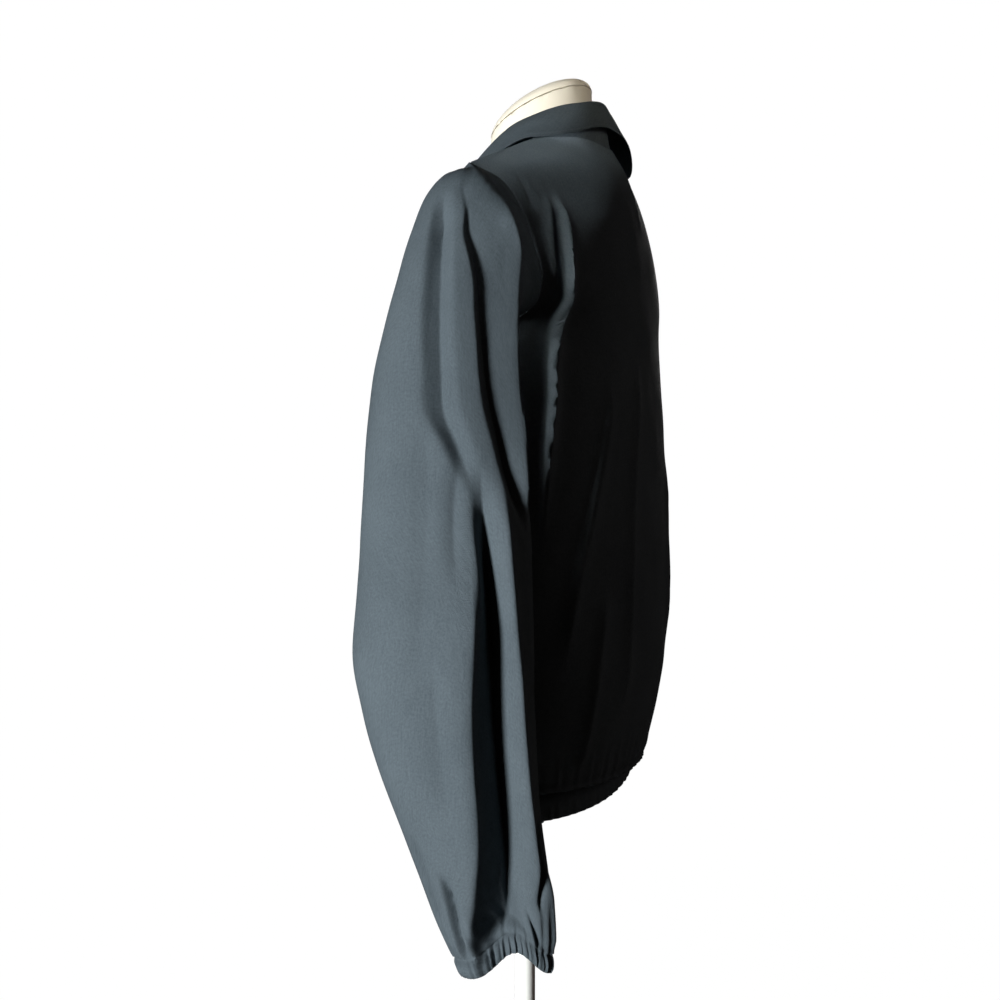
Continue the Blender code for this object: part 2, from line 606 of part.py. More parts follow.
def build_collar():
    neckline, fold, edge = collar_lines()
    up = np.array([0, 0, 1.0])
    tangent = np.gradient(fold, axis=0)
    out = level(np.cross(tangent, up))
    if (out * (fold - fold.mean(axis=0))).sum() < 0:
        out = -out
    foot = neckline + up * SEAM_GAP * 2
    foot[0, 0] += SEAM_GAP
    foot[-1, 0] -= SEAM_GAP
    top = fold - up * STAND_TOP_DROP
    stand = np.array([foot, (foot + top) / 2 + out * STAND_BULGE, top])
    stand_normals = np.broadcast_to(out, stand.shape)
    cloth_wall("collar_stand", stand, stand_normals, paint("collar_stand_nylon", NYLON, NYLON_ROUGHNESS))
    fall = np.array([fold * (1 - row.share) + edge * row.share + out * row.out + up * row.up
                     for row in FALL_ROWS])
    fall_normals = grid_normals(fall, False, out + up)
    fall_normals[0] = up
    cloth_wall("collar_fall", fall, unit(fall_normals), paint("collar_fall_nylon", NYLON, NYLON_ROUGHNESS))


# Front placket

def build_placket(left):
    """Strip laid on the front edges, and the press buttons down its middle."""
    both = np.concatenate([mirrored(left)[:, :0:-1], left[:, 1:]], axis=1)
    columns = []
    for x in PLACKET_COLUMNS_X:
        column = [(x, np.interp(x, row[:, 0], row[:, 1]), np.interp(x, row[:, 0], row[:, 2]))
                  for row in both[:PLACKET_ROWS]]
        columns.append(column)
    base = np.array(columns).transpose(1, 0, 2)
    normals = grid_normals(base, False, np.array([0, -1.0, 0]))
    normals[0] = level(normals[0])
    outer = base + normals * (CLOTH + PLACKET_LIFT)
    cloth_wall("front_placket", outer, normals, paint("placket_nylon", NYLON, NYLON_ROUGHNESS))
    middle = outer[:, PLACKET_MIDDLE]
    middle_normals = normals[:, PLACKET_MIDDLE]
    for number in range(SNAP_COUNT):
        z = SNAP_LOW_Z + (SNAP_HIGH_Z - SNAP_LOW_Z) * number / (SNAP_COUNT - 1)
        place = np.array([np.interp(z, middle[:, 2], middle[:, axis]) for axis in range(3)])
        normal = np.array([np.interp(z, middle[:, 2], middle_normals[:, axis]) for axis in range(3)])
        normal = unit(normal)
        build_snap(f"snap_{number + 1}", place + normal * LAID_ON, normal)


def build_snap(name, foot, normal):
    """Round press button: a low disc with a stepped, softly domed top."""
    side = unit(np.cross(normal, np.array([0, 0, 1.0])))
    upward = np.cross(side, normal)
    angle = np.linspace(0, 2 * math.pi, SNAP_SIDES, endpoint=False)
    spokes = np.cos(angle)[:, None] * side + np.sin(angle)[:, None] * upward
    points = np.concatenate([foot + spokes * SNAP_RADIUS * ring.radius_share
                             + normal * SNAP_HEIGHT * ring.height_share for ring in SNAP_RINGS])
    faces = grid_faces(len(SNAP_RINGS), SNAP_SIDES, 0, True)
    faces.append(tuple(range(SNAP_SIDES))[::-1])
    faces.append(tuple(range(len(points) - SNAP_SIDES, len(points))))
    solid(name, points, faces, paint(name + "_lacquer", NYLON, LACQUER_ROUGHNESS))


# Dress form and stand

def capped(name, rings, material):
    """Closed body through rings of points, with a flat face at each end."""
    sides = rings.shape[1]
    points = rings.reshape(-1, 3)
    faces = grid_faces(len(rings), sides, 0, True)
    faces.append(tuple(range(sides)))
    faces.append(tuple(range(len(points) - sides, len(points))))
    solid(name, points, faces, material)


def form_ring(ring):
    """Loop of the form: an ellipse that runs out smoothly into the shoulder wings."""
    angle = np.linspace(0, 2 * math.pi, FORM_SIDES, endpoint=False)
    sine = np.sin(angle)
    cosine = np.cos(angle)
    depth = np.where(cosine > 0, ring.side_y - ring.front_y, ring.back_y - ring.side_y)
    reach = 1 / np.hypot(sine / ring.half_width, cosine / depth)
    if ring.wing:
        wing_reach = 1 / np.hypot(sine / ring.wing, cosine / WING_HALF_DEPTH)
        reach = (reach**WING_BLEND + wing_reach**WING_BLEND) ** (1 / WING_BLEND)
    return np.stack([reach * sine, ring.side_y - reach * cosine, np.full(FORM_SIDES, ring.z)], axis=1)


def build_form():
    rings = []
    for ring in FORM_RINGS:
        loop = form_ring(ring)
        loop[:, 2] += ring.tilt * (loop[:, 1] - CAP_CENTRE_Y)
        rings.append(loop)
    capped("form_torso", np.array(rings), paint("form_jersey", JERSEY, JERSEY_ROUGHNESS))
    cap_rings = []
    for number in range(CAP_RINGS):
        turn = math.pi / 2 * number / CAP_RINGS
        section = Section(CAP_BASE_Z + SEAM_GAP + CAP_RISE * math.sin(turn), CAP_HALF_WIDTH * math.cos(turn),
                          CAP_CENTRE_Y, CAP_CENTRE_Y - CAP_HALF_DEPTH * math.cos(turn),
                          CAP_CENTRE_Y + CAP_HALF_DEPTH * math.cos(turn))
        loop = section_ring(section, FORM_SIDES, roundness=1.0)
        loop[:, 2] += NECK_TILT * (loop[:, 1] - CAP_CENTRE_Y)
        cap_rings.append(loop)
    capped("form_neck_cap", np.array(cap_rings), paint("cap_jersey", JERSEY, JERSEY_ROUGHNESS))


def turned(name, profile, material):
    """Body turned about the upright axis from radius and height pairs."""
    angle = np.linspace(0, 2 * math.pi, STAND_SIDES, endpoint=False)
    rings = [np.stack([radius * np.cos(angle), radius * np.sin(angle), np.full(STAND_SIDES, z)], axis=1)
             for radius, z in profile]
    capped(name, np.array(rings), material)


def build_stand():
    enamel = paint("stand_enamel", ENAMEL, ENAMEL_ROUGHNESS)
    pole_foot = BASE_HEIGHT + SOCKET_FLOOR
    turned("stand_base", (
        (BASE_RADIUS - BASE_EDGE, 0.0),
        (BASE_RADIUS, BASE_EDGE),
        (BASE_RADIUS, BASE_HEIGHT - BASE_EDGE),
        (BASE_RADIUS - BASE_EDGE, BASE_HEIGHT),
        (HUB_RADIUS + HUB_FOOT_OUT, BASE_HEIGHT + HUB_FOOT_RISE),
        (HUB_RADIUS, BASE_HEIGHT + HUB_FOOT_HEIGHT),
        (HUB_RADIUS - HUB_TAPER, HUB_TOP_Z),
        (POLE_RADIUS + SEAM_GAP, HUB_TOP_Z),
        (POLE_RADIUS + SEAM_GAP, pole_foot - SEAM_GAP),
    ), enamel)
    flange_foot = POLE_TOP_Z - FLANGE_HEIGHT
    turned("stand_pole", (
        (POLE_RADIUS, pole_foot),
        (POLE_RADIUS, flange_foot - FLANGE_NECK_HEIGHT),
        (POLE_RADIUS + FLANGE_NECK_OUT, flange_foot),
        (FLANGE_RADIUS, flange_foot + FLANGE_EDGE),
        (FLANGE_RADIUS, POLE_TOP_Z),
    ), paint("pole_enamel", ENAMEL, ENAMEL_ROUGHNESS))


build_back()
left_front = build_fronts()
build_sleeves()
build_hem()
build_collar()
build_placket(left_front)
build_form()
build_stand()
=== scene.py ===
import math
from collections import namedtuple

import bmesh
import bpy
import numpy as np
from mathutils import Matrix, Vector


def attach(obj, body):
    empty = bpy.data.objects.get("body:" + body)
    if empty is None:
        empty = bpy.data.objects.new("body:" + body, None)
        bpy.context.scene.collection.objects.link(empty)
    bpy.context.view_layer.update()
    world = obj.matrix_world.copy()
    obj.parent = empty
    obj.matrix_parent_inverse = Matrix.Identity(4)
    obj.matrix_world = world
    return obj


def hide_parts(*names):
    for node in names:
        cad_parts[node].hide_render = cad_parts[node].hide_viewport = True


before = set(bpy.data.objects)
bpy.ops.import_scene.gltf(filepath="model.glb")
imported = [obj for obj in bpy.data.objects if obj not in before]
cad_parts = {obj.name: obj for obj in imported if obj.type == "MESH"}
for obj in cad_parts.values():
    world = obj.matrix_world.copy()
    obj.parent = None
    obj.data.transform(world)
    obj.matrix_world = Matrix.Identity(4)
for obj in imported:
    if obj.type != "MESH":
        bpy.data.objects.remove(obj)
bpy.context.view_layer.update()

# Stand
# A round steel plate with a turned hub, and the steel tube that stands in the hub and carries the form
# on a flange. Both are enamelled off-white, with the slight orange peel of sprayed enamel.

BASE_RADIUS = 0.18
BASE_HEIGHT = 0.008
BASE_EDGE = 0.003
HUB_RADIUS = 0.024
HUB_TOP = 0.055
HUB_TAPER = 0.003
HUB_FOOT = ((0.012, 0.002), (0.003, 0.005), (0.0, 0.010))
POLE_RADIUS = 0.0097
POLE_FOOT = 0.012
POLE_TOP = 0.7697
FLANGE_RADIUS = 0.045
FLANGE_NECK = ((0.0, 0.022), (0.003, 0.016), (0.010, 0.010))
FLANGE_HEIGHT = 0.008
SOCKET_GAP = 0.0004
EDGE_SOFTENING = 0.0006
EDGE_SEGMENTS = 2
TURNED_SMOOTHING = math.radians(35)
PLATE_SIDES = 120
POLE_SIDES = 64
ENAMEL_TONES = ((0.91, 0.91, 0.85), (0.94, 0.94, 0.89))


class Tone:
    """A number that varies over a surface. Ordinary arithmetic on it adds the maths nodes."""

    def __init__(self, finish, socket):
        self.finish = finish
        self.socket = socket

    def maths(self, operation, first, second=0.0):
        made = self.finish.node("ShaderNodeMath", {"operation": operation}, {0: first, 1: second})
        return Tone(self.finish, made.outputs[0])

    def __add__(self, other):
        return self.maths("ADD", self, other)

    def __radd__(self, other):
        return self.maths("ADD", other, self)

    def __sub__(self, other):
        return self.maths("SUBTRACT", self, other)

    def __rsub__(self, other):
        return self.maths("SUBTRACT", other, self)

    def __mul__(self, other):
        return self.maths("MULTIPLY", self, other)

    def __rmul__(self, other):
        return self.maths("MULTIPLY", other, self)

    def sine(self):
        return self.maths("SINE", self)


class Finish:
    """A finish in the making: its material, its shader, and one way to add any node to it."""

    def __init__(self, name, constants):
        self.material = bpy.data.materials.new(name)
        self.material.use_nodes = True
        self.tree = self.material.node_tree
        self.shader = self.tree.nodes["Principled BSDF"]
        for socket, value in constants.items():
            self.shader.inputs[socket].default_value = value

    def join(self, value, socket):
        if isinstance(value, Tone):
            self.tree.links.new(value.socket, socket)
        elif isinstance(value, bpy.types.NodeSocket):
            self.tree.links.new(value, socket)
        else:
            socket.default_value = value

    def node(self, kind, settings, sockets):
        made = self.tree.nodes.new(kind)
        for name, value in settings.items():
            setattr(made, name, value)
        for name, value in sockets.items():
            self.join(value, made.inputs[name])
        return made

    def place(self, output):
        return self.node("ShaderNodeTexCoord", {}, {}).outputs[output]

    def grain(self, place, scale, detail=2.0):
        made = self.node("ShaderNodeTexNoise", {}, {"Vector": place, "Scale": scale, "Detail": detail})
        return Tone(self, made.outputs[0])

    def colour(self, factor, first, second):
        # The mix node's colour sockets go by number, because they share their names with others
        made = self.node("ShaderNodeMix", {"data_type": "RGBA"}, {0: factor, 6: (*first, 1), 7: (*second, 1)})
        self.join(made.outputs[2], self.shader.inputs["Base Color"])

    def roughness(self, least, spread, tone):
        self.join(least + spread * tone, self.shader.inputs["Roughness"])

    def relief(self, height, distance, strength):
        made = self.node("ShaderNodeBump", {}, {"Height": height, "Distance": distance, "Strength": strength})
        self.join(made.outputs[0], self.shader.inputs["Normal"])


def enamel_finish():
    finish = Finish("off_white_enamel", {"Coat Weight": 0.25, "Coat Roughness": 0.12})
    place = finish.place("Object")
    finish.colour(finish.grain(place, scale=18), *ENAMEL_TONES)
    finish.roughness(least=0.30, spread=0.14, tone=finish.grain(place, scale=60))
    finish.relief(finish.grain(place, scale=900), distance=0.0002, strength=0.25)
    return finish.material


def soft_edged(piece, width, smoothing):
    """Rounds a piece's sharp edges and shades the rest smooth."""
    bevel = piece.modifiers.new("softened_edges", "BEVEL")
    bevel.width = width
    bevel.segments = EDGE_SEGMENTS
    bevel.limit_method = "ANGLE"
    bpy.ops.object.modifier_apply(modifier=bevel.name)
    bpy.ops.object.shade_smooth_by_angle(angle=smoothing)


def set_in_place(piece, node, material):
    """Gives a piece its finish and lets it stand for its solid."""
    piece.data.materials.clear()
    piece.data.materials.append(material)
    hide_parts(node)
    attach(piece, "root")


def turned(name, profile, sides, material, node):
    """Body turned about the pole's axis: a disc raised step by step through radius and height pairs."""
    bpy.ops.object.select_all(action="DESELECT")
    radius, height = profile[0]
    bpy.ops.mesh.primitive_circle_add(vertices=sides, radius=radius, fill_type="NGON")
    piece = bpy.context.object
    piece.name = name
    bpy.ops.object.mode_set(mode="EDIT")
    bpy.ops.mesh.select_all(action="SELECT")
    bpy.ops.transform.translate(value=(0, 0, height))
    for next_radius, next_height in profile[1:]:
        bpy.ops.mesh.extrude_region_move(TRANSFORM_OT_translate={"value": (0, 0, next_height - height)})
        share = next_radius / radius
        bpy.ops.transform.resize(value=(share, share, 1), center_override=(0, 0, next_height))
        radius, height = next_radius, next_height
    bpy.ops.mesh.select_all(action="SELECT")
    bpy.ops.mesh.normals_make_consistent(inside=False)
    bpy.ops.object.mode_set(mode="OBJECT")
    soft_edged(piece, EDGE_SOFTENING, TURNED_SMOOTHING)
    set_in_place(piece, node, material)


enamel = enamel_finish()
turned("plate_and_hub", (
    (BASE_RADIUS - BASE_EDGE, 0.0),
    (BASE_RADIUS, BASE_EDGE),
    (BASE_RADIUS, BASE_HEIGHT - BASE_EDGE),
    (BASE_RADIUS - BASE_EDGE, BASE_HEIGHT),
    *((HUB_RADIUS + out, BASE_HEIGHT + up) for out, up in HUB_FOOT),
    (HUB_RADIUS - HUB_TAPER, HUB_TOP),
    (POLE_RADIUS + SOCKET_GAP, HUB_TOP),
    (POLE_RADIUS + SOCKET_GAP, POLE_FOOT - SOCKET_GAP),
), PLATE_SIDES, enamel, "stand_base")
turned("pole_and_flange", (
    (POLE_RADIUS, POLE_FOOT),
    *((POLE_RADIUS + out, POLE_TOP - down) for out, down in FLANGE_NECK),
    (FLANGE_RADIUS, POLE_TOP - FLANGE_HEIGHT),
    (FLANGE_RADIUS, POLE_TOP),
), POLE_SIDES, enamel, "stand_pole")

# Dress form
# A limbless torso with shoulders and a neck, a padded shell covered in cream jersey, and the slanted domed
# cap that closes the neck. The cover is a fine knit, so it is quite matt.

FORM_RIM = math.radians(48)
RIM_HOLD = 0.9
WELD_DISTANCE = 0.00002
FLAT_PAIR = math.radians(60)
FORM_LEVELS = 2
FORM_SMOOTHING = math.radians(50)
JERSEY_TONES = ((0.86, 0.79, 0.645), (0.91, 0.845, 0.70))


def jersey_finish():
    finish = Finish("cream_jersey", {"Sheen Weight": 0.15, "Sheen Roughness": 0.5, "Specular IOR Level": 0.3})
    place = finish.place("Object")
    knit = finish.grain(place, scale=1400) + 0.5 * finish.grain(place, scale=500)
    finish.colour(finish.grain(place, scale=25, detail=4), *JERSEY_TONES)
    finish.roughness(least=0.82, spread=0.12, tone=finish.grain(place, scale=200))
    finish.relief(knit, distance=0.0003, strength=0.35)
    return finish.material


def set_out(name, data):
    """New object in the scene, the only one that is selected."""
    made = bpy.data.objects.new(name, data)
    bpy.context.scene.collection.objects.link(made)
    bpy.ops.object.select_all(action="DESELECT")
    made.select_set(True)
    bpy.context.view_layer.objects.active = made
    return made


def covered_form(name, node, material):
    """Smooth copy of a solid of the form, with its rims kept crisp."""
    piece = set_out(name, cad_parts[node].data.copy())
    bpy.ops.object.mode_set(mode="EDIT")
    bpy.ops.mesh.select_all(action="SELECT")
    bpy.ops.mesh.remove_doubles(threshold=WELD_DISTANCE)
    bpy.ops.mesh.customdata_custom_splitnormals_clear()
    bpy.ops.mesh.tris_convert_to_quads(face_threshold=FLAT_PAIR, shape_threshold=FLAT_PAIR)
    bpy.ops.object.mode_set(mode="OBJECT")
    work = bmesh.new()
    work.from_mesh(piece.data)
    crease = work.edges.layers.float.new("crease_edge")
    for edge in work.edges:
        if len(edge.link_faces) == 2 and edge.calc_face_angle() > FORM_RIM:
            edge[crease] = RIM_HOLD
    work.to_mesh(piece.data)
    work.free()
    smooth = piece.modifiers.new("smooth", "SUBSURF")
    smooth.levels = FORM_LEVELS
    smooth.render_levels = FORM_LEVELS
    bpy.ops.object.modifier_apply(modifier=smooth.name)
    bpy.ops.object.shade_smooth_by_angle(angle=FORM_SMOOTHING)
    set_in_place(piece, node, material)


jersey = jersey_finish()
covered_form("covered_torso", "form_torso", jersey)
covered_form("covered_neck_cap", "form_neck_cap", jersey)

# Back panel
# One piece of thin woven nylon, dark slate, cut with armholes and a shallow neck. It hangs from the
# shoulders in faint upright folds and is drawn in a little above the hem casing.

SEAM_GAP = 0.0004
CLOTH = 0.0006
CLOTH_SMOOTHING = math.radians(65)
THREAD_PITCH = 0.00045
SLUB_STRETCH = (1500.0, 60.0, 1.0)
NYLON_TONES = ((0.052, 0.066, 0.076), (0.124, 0.152, 0.170))
NYLON_CONTRAST = 1.8
ARMPIT_Z = 1.125
NECK_POINT = (0.068, 0.027, 1.3285)
SHOULDER_TIP = (0.180, 0.0065, 1.2818)
SHOULDER_MIDDLE = tuple((neck + tip) / 2 for neck, tip in zip(NECK_POINT, SHOULDER_TIP))
BODY_ROUND = 0.88
HALF_COLUMNS = 120
NECK_COLUMN = 60
ARMHOLE_ROWS = 48
BELOW_ARMPIT = np.concatenate([
    np.linspace(0.7470, 0.7485, 4),
    np.linspace(0.7485, 0.7550, 6)[1:],
    np.linspace(0.7550, 0.8000, 20)[1:],
    np.linspace(0.8000, ARMPIT_Z, 86)[1:],
])

Section = namedtuple("Section", "z half_width side_y front_y back_y")
BODY_SECTIONS = (
    Section(0.7470, 0.1485, 0.000, -0.092, 0.0945),
    Section(0.7485, 0.1550, 0.000, -0.098, 0.1030),
    Section(0.7550, 0.1600, 0.000, -0.103, 0.1080),
    Section(0.7750, 0.168, 0.000, -0.108, 0.1140),
    Section(0.8000, 0.178, 0.000, -0.113, 0.1205),
    Section(0.8350, 0.185, 0.000, -0.118, 0.1270),
    Section(0.8900, 0.189, 0.000, -0.120, 0.1305),
    Section(0.9430, 0.190, 0.000, -0.120, 0.131),
    Section(1.0000, 0.190, 0.000, -0.119, 0.1295),
    Section(1.0760, 0.190, 0.002, -0.115, 0.127),
    Section(1.1250, 0.190, 0.004, -0.110, 0.1235),
)
YokeRow = namedtuple("YokeRow", "z centre inner middle outer edge")
BACK_YOKE = (
    YokeRow(1.18, (0, 0.120, 1.19), (0.05, 0.119, 1.19), (0.10, 0.111, 1.187),
            (0.143, 0.092, 1.177), (0.174, 0.064, 1.164)),
    YokeRow(1.235, (0, 0.114, 1.255), (0.045, 0.111, 1.257), (0.09, 0.100, 1.254),
            (0.135, 0.078, 1.241), (0.175, 0.0565, 1.225)),
    YokeRow(1.28, (0, 0.102, 1.30), (0.042, 0.092, 1.305), (0.082, 0.072, 1.303),
            (0.134, 0.050, 1.285), (0.180, 0.037, 1.263)),
    YokeRow(1.32, (0, 0.086, 1.33), (0.044, 0.067, 1.332), NECK_POINT, SHOULDER_MIDDLE, SHOULDER_TIP),
)
FRONT_YOKE = (
    YokeRow(1.18, (0, -0.100, 1.165), (0.05, -0.098, 1.168), (0.10, -0.090, 1.168),
            (0.140, -0.071, 1.165), (0.170, -0.040, 1.160)),
    YokeRow(1.235, (0, -0.084, 1.215), (0.045, -0.079, 1.221), (0.085, -0.068, 1.224),
            (0.127, -0.050, 1.223), (0.170, -0.034, 1.213)),
    YokeRow(1.28, (0, -0.070, 1.247), (0.042, -0.059, 1.258), (0.075, -0.042, 1.271),
            (0.128, -0.025, 1.270), (0.178, -0.018, 1.257)),
    YokeRow(1.32, (0, -0.060, 1.270), (0.046, -0.034, 1.288), NECK_POINT, SHOULDER_MIDDLE, SHOULDER_TIP),
)

# A crease follows its path of heights and places. It rises or, below zero, sinks, with its own width on
# each side, and dies away over a length at its top and at its low end
Crease = namedtuple("Crease", "path more_side less_side rise fade_top fade_low")
CREASE_SHARPNESS = 1.4
# A fold's path gives each height with the places of its rolled edge, its bottom and the crest beyond
Fold = namedtuple("Fold", "path rise fade_top fade_low")
FOLD_ROLL = 0.11
FOLD_STEEPNESS = 0.60
BACK_LEFT_CREASES = (
    Crease(((1.262, 0.735), (1.252, 0.765), (1.230, 0.800), (1.205, 0.832), (1.190, 0.844), (1.176, 0.834),
            (1.161, 0.775), (1.145, 0.692), (1.135, 0.654), (1.125, 0.632), (1.114, 0.630), (1.075, 0.650),
            (0.950, 0.690)), 0.014, 0.030, 0.0110, 0.03, 0.14),
    Crease(((1.262, 0.800), (1.234, 0.861), (1.214, 0.900), (1.170, 0.915)),
           0.020, 0.020, 0.0040, 0.02, 0.03),
    Crease(((1.280, 0.860), (1.260, 0.900), (1.240, 0.925)), 0.020, 0.020, -0.0022, 0.01, 0.01),
    Crease(((1.120, 0.330), (1.086, 0.353), (1.000, 0.450), (0.917, 0.554), (0.850, 0.600)),
           0.030, 0.040, 0.0045, 0.06, 0.06),
    Crease(((1.150, 0.130), (1.090, 0.171), (1.017, 0.226), (0.938, 0.254), (0.800, 0.270)),
           0.030, 0.035, 0.0040, 0.06, 0.06),
    Crease(((0.930, 0.390), (0.890, 0.422), (0.830, 0.450), (0.765, 0.480)),
           0.028, 0.035, 0.0040, 0.04, 0.02),
)
BACK_RIGHT_CREASES = (
    Crease(((1.240, 0.760), (1.180, 0.730), (1.130, 0.660), (0.980, 0.680)),
           0.022, 0.030, 0.0070, 0.04, 0.10),
    Crease(((1.235, 0.860), (1.190, 0.830), (1.110, 0.790), (1.030, 0.790)),
           0.045, 0.035, -0.0050, 0.04, 0.08),
    Crease(((1.100, 0.440), (0.980, 0.500), (0.820, 0.460)), 0.032, 0.040, 0.0045, 0.06, 0.06),
    Crease(((0.950, 0.700), (0.870, 0.740), (0.770, 0.720)), 0.030, 0.040, 0.0045, 0.05, 0.02),
    Crease(((1.050, 0.200), (0.950, 0.170), (0.850, 0.210)), 0.030, 0.035, 0.0030, 0.05, 0.05),
)
SIDE_FADE = 0.12
SEAM_SINK = 0.0012
SEAM_SINK_SHARES = (1.0, 0.35)
HEM_GATHERS = 68
HEM_GATHER_DEPTH = 0.0011
BODY_RUMPLE = 0.0006
RUMPLE_SIZE = 0.024
# Heights at which the handling and the hem's gathers end, each with the length of the fade
RUMPLE_TOP = (1.30, 0.05)
RUMPLE_LOW = (0.75, 0.02)
DRAWN_TOP = (0.800, 0.045)
DRAWN_LOW = (0.7465, 0.004)
BACK_OUTWARD = (0.3, 1.0, 0.2)


def nylon_finish():
    finish = Finish("dark_slate_nylon", {"Specular IOR Level": 0.08})
    cut = finish.node("ShaderNodeUVMap", {"uv_map": "cut"}, {}).outputs[0]
    parts = finish.node("ShaderNodeSeparateXYZ", {}, {0: cut})
    across = Tone(finish, parts.outputs[0])
    along = Tone(finish, parts.outputs[1])
    thread = math.pi / THREAD_PITCH
    weave = (across * thread).sine() * (along * thread).sine()
    stretched = finish.node("ShaderNodeMapping", {}, {"Vector": cut, "Scale": SLUB_STRETCH})
    slub = finish.grain(stretched.outputs[0], scale=1.0)
    dents = finish.grain(cut, scale=70, detail=3)
    place = finish.place("Object")
    shade = finish.grain(place, scale=14, detail=3) * 0.30 + slub * 0.30 + finish.grain(cut, scale=480) * 0.40
    finish.colour(0.5 + NYLON_CONTRAST * (shade - 0.5), *NYLON_TONES)
    finish.roughness(least=0.66, spread=0.16, tone=finish.grain(place, scale=40))
    finish.relief(weave * 0.10 + slub * 0.15 + dents * 0.75, distance=0.0020, strength=0.70)
    return finish.material


def unit(vectors):
    return vectors / np.linalg.norm(vectors, axis=-1, keepdims=True)


def smooth_through(keys, values, at):
    """Values at places on a smooth curve through rows of values with rising keys."""
    keys = np.asarray(keys, float)
    values = np.asarray(values, float)
    at = np.asarray(at, float)
    slopes = np.gradient(values, keys, axis=0)
    index = np.clip(np.searchsorted(keys, at, side="right") - 1, 0, len(keys) - 2)
    tail = (1,) * (values.ndim - 1)
    span = (keys[index + 1] - keys[index]).reshape(at.shape + tail)
    t = (at - keys[index]).reshape(at.shape + tail) / span
    start = values[index] * (2 * t**3 - 3 * t**2 + 1) + slopes[index] * span * (t**3 - 2 * t**2 + t)
    end = values[index + 1] * (3 * t**2 - 2 * t**3) + slopes[index + 1] * span * (t**3 - t**2)
    return start + end


def eased(share):
    share = np.clip(share, 0, 1)
    return share * share * (3 - 2 * share)


def below(heights, top, fade):
    return eased((top - heights) / fade)


def above(heights, low, fade):
    return eased((heights - low) / fade)


def rounded(wave, power):
    """Sine or cosine raised to a power with its sign kept, for sections a little squarer than an ellipse."""
    return np.sign(wave) * np.abs(wave) ** power


def grid_normals(grid, around, outward):
    """Unit normals of a grid, on the side where outward is positive along most of them."""
    along = np.gradient(grid, axis=0)
    if around:
        across = np.roll(grid, -1, axis=1) - np.roll(grid, 1, axis=1)
    else:
        across = np.gradient(grid, axis=1)
    normals = unit(np.cross(across, along))
    return normals if (normals * outward).sum() > 0 else -normals


def level(normals):
    flat = normals.copy()
    flat[..., 2] = 0
    return unit(flat)


def mirrored(grid):
    return grid * np.array([-1.0, 1.0, 1.0])


def crease_heights(creases, heights, places):
    """Rise of all the creases at points with these heights above the floor and places across."""
    total = np.zeros(heights.shape)
    for crease in creases:
        path = np.array(sorted(crease.path))
        low, high = path[0, 0], path[-1, 0]
        line = smooth_through(path[:, 0], path[:, 1:], np.clip(heights, low, high))
        strength = below(heights, high, crease.fade_top) * above(heights, low, crease.fade_low)
        if isinstance(crease, Fold):
            edge, bottom, crest = np.moveaxis(line, -1, 0)
            off = places - bottom
            reach = np.abs(off) / np.where(off > 0, edge - bottom, bottom - crest)
            shape = FOLD_ROLL * np.log1p(np.exp((1 - reach) / FOLD_ROLL))
            shape = shape ** np.where(off > 0, FOLD_STEEPNESS, 1)
        else:
            off = places - line[..., 0]
            reach = np.abs(off) / np.where(off > 0, crease.more_side, crease.less_side)
            shape = np.exp(-reach ** CREASE_SHARPNESS)
        total += crease.rise * strength * shape
    return total


def rumple(points, size):
    """Soft uneven undulation between about -1 and 1, for cloth that has been handled."""
    x, y, z = (points / size).transpose(2, 0, 1)
    first = np.sin(1.3 * x + 2.1 * np.sin(0.7 * z + 0.4)) * np.sin(1.1 * z + 1.7 * np.sin(0.9 * y + 1.2))
    second = np.sin(2.3 * y - 1.1 * z + 1.9 * np.sin(1.3 * x)) * 0.6
    return (first + second) / 1.6


def gathers(turns, count, start):
    """Uneven wave of gathers round an edge, between about -1 and 1, for places in whole turns."""
    turn = 2 * math.pi * turns
    wander = 0.9 * np.sin(3 * turn + start) + 0.6 * np.sin(5 * turn + 2.3 * start)
    swell = 0.75 + 0.25 * np.sin(4 * turn + 1.7 * start)
    wide = np.cos(count * turn + wander)
    fine = np.cos(int(count * 1.6) * turn - 1.3 * wander)
    return swell * (0.7 * wide + 0.3 * fine)


def cloth_sheet(name, outer, normals, around, material, node):
    """Thin sheet on a grid of points, thickened inward, with a map of its cut in metres."""
    rows, columns = outer.shape[:2]
    mesh = bpy.data.meshes.new(name)
    loop = np.concatenate([outer, outer[:, :1]], axis=1) if around else outer
    across = np.zeros(loop.shape[:2])
    across[:, 1:] = np.cumsum(np.linalg.norm(np.diff(loop, axis=1), axis=2), axis=1)
    along = np.zeros(loop.shape[:2])
    along[1:] = np.cumsum(np.linalg.norm(np.diff(loop, axis=0), axis=2), axis=0)
    row, column = np.meshgrid(np.arange(rows - 1), np.arange(loop.shape[1] - 1), indexing="ij")
    corners = [(row, column), (row, column + 1), (row + 1, column + 1), (row + 1, column)]
    middle_row, middle_column = rows // 2, columns // 2
    side = outer[middle_row, middle_column + 1] - outer[middle_row, middle_column]
    up = outer[middle_row + 1, middle_column] - outer[middle_row, middle_column]
    if np.dot(np.cross(side, up), normals[middle_row, middle_column]) < 0:
        corners = corners[::-1]
    faces = np.stack([r * columns + c % columns for r, c in corners], axis=-1).reshape(-1, 4)
    mesh.from_pydata(outer.reshape(-1, 3).tolist(), [], faces.tolist())
    cut = mesh.uv_layers.new(name="cut")
    places = np.stack([np.stack([across[r, c], along[r, c]], axis=-1) for r, c in corners], axis=2)
    cut.data.foreach_set("uv", places.reshape(-1).astype(np.float32))
    piece = set_out(name, mesh)
    thick = piece.modifiers.new("cloth", "SOLIDIFY")
    thick.thickness = CLOTH
    thick.offset = -1
    bpy.ops.object.modifier_apply(modifier=thick.name)
    bpy.ops.object.shade_smooth_by_angle(angle=CLOTH_SMOOTHING)
    set_in_place(piece, node, material)


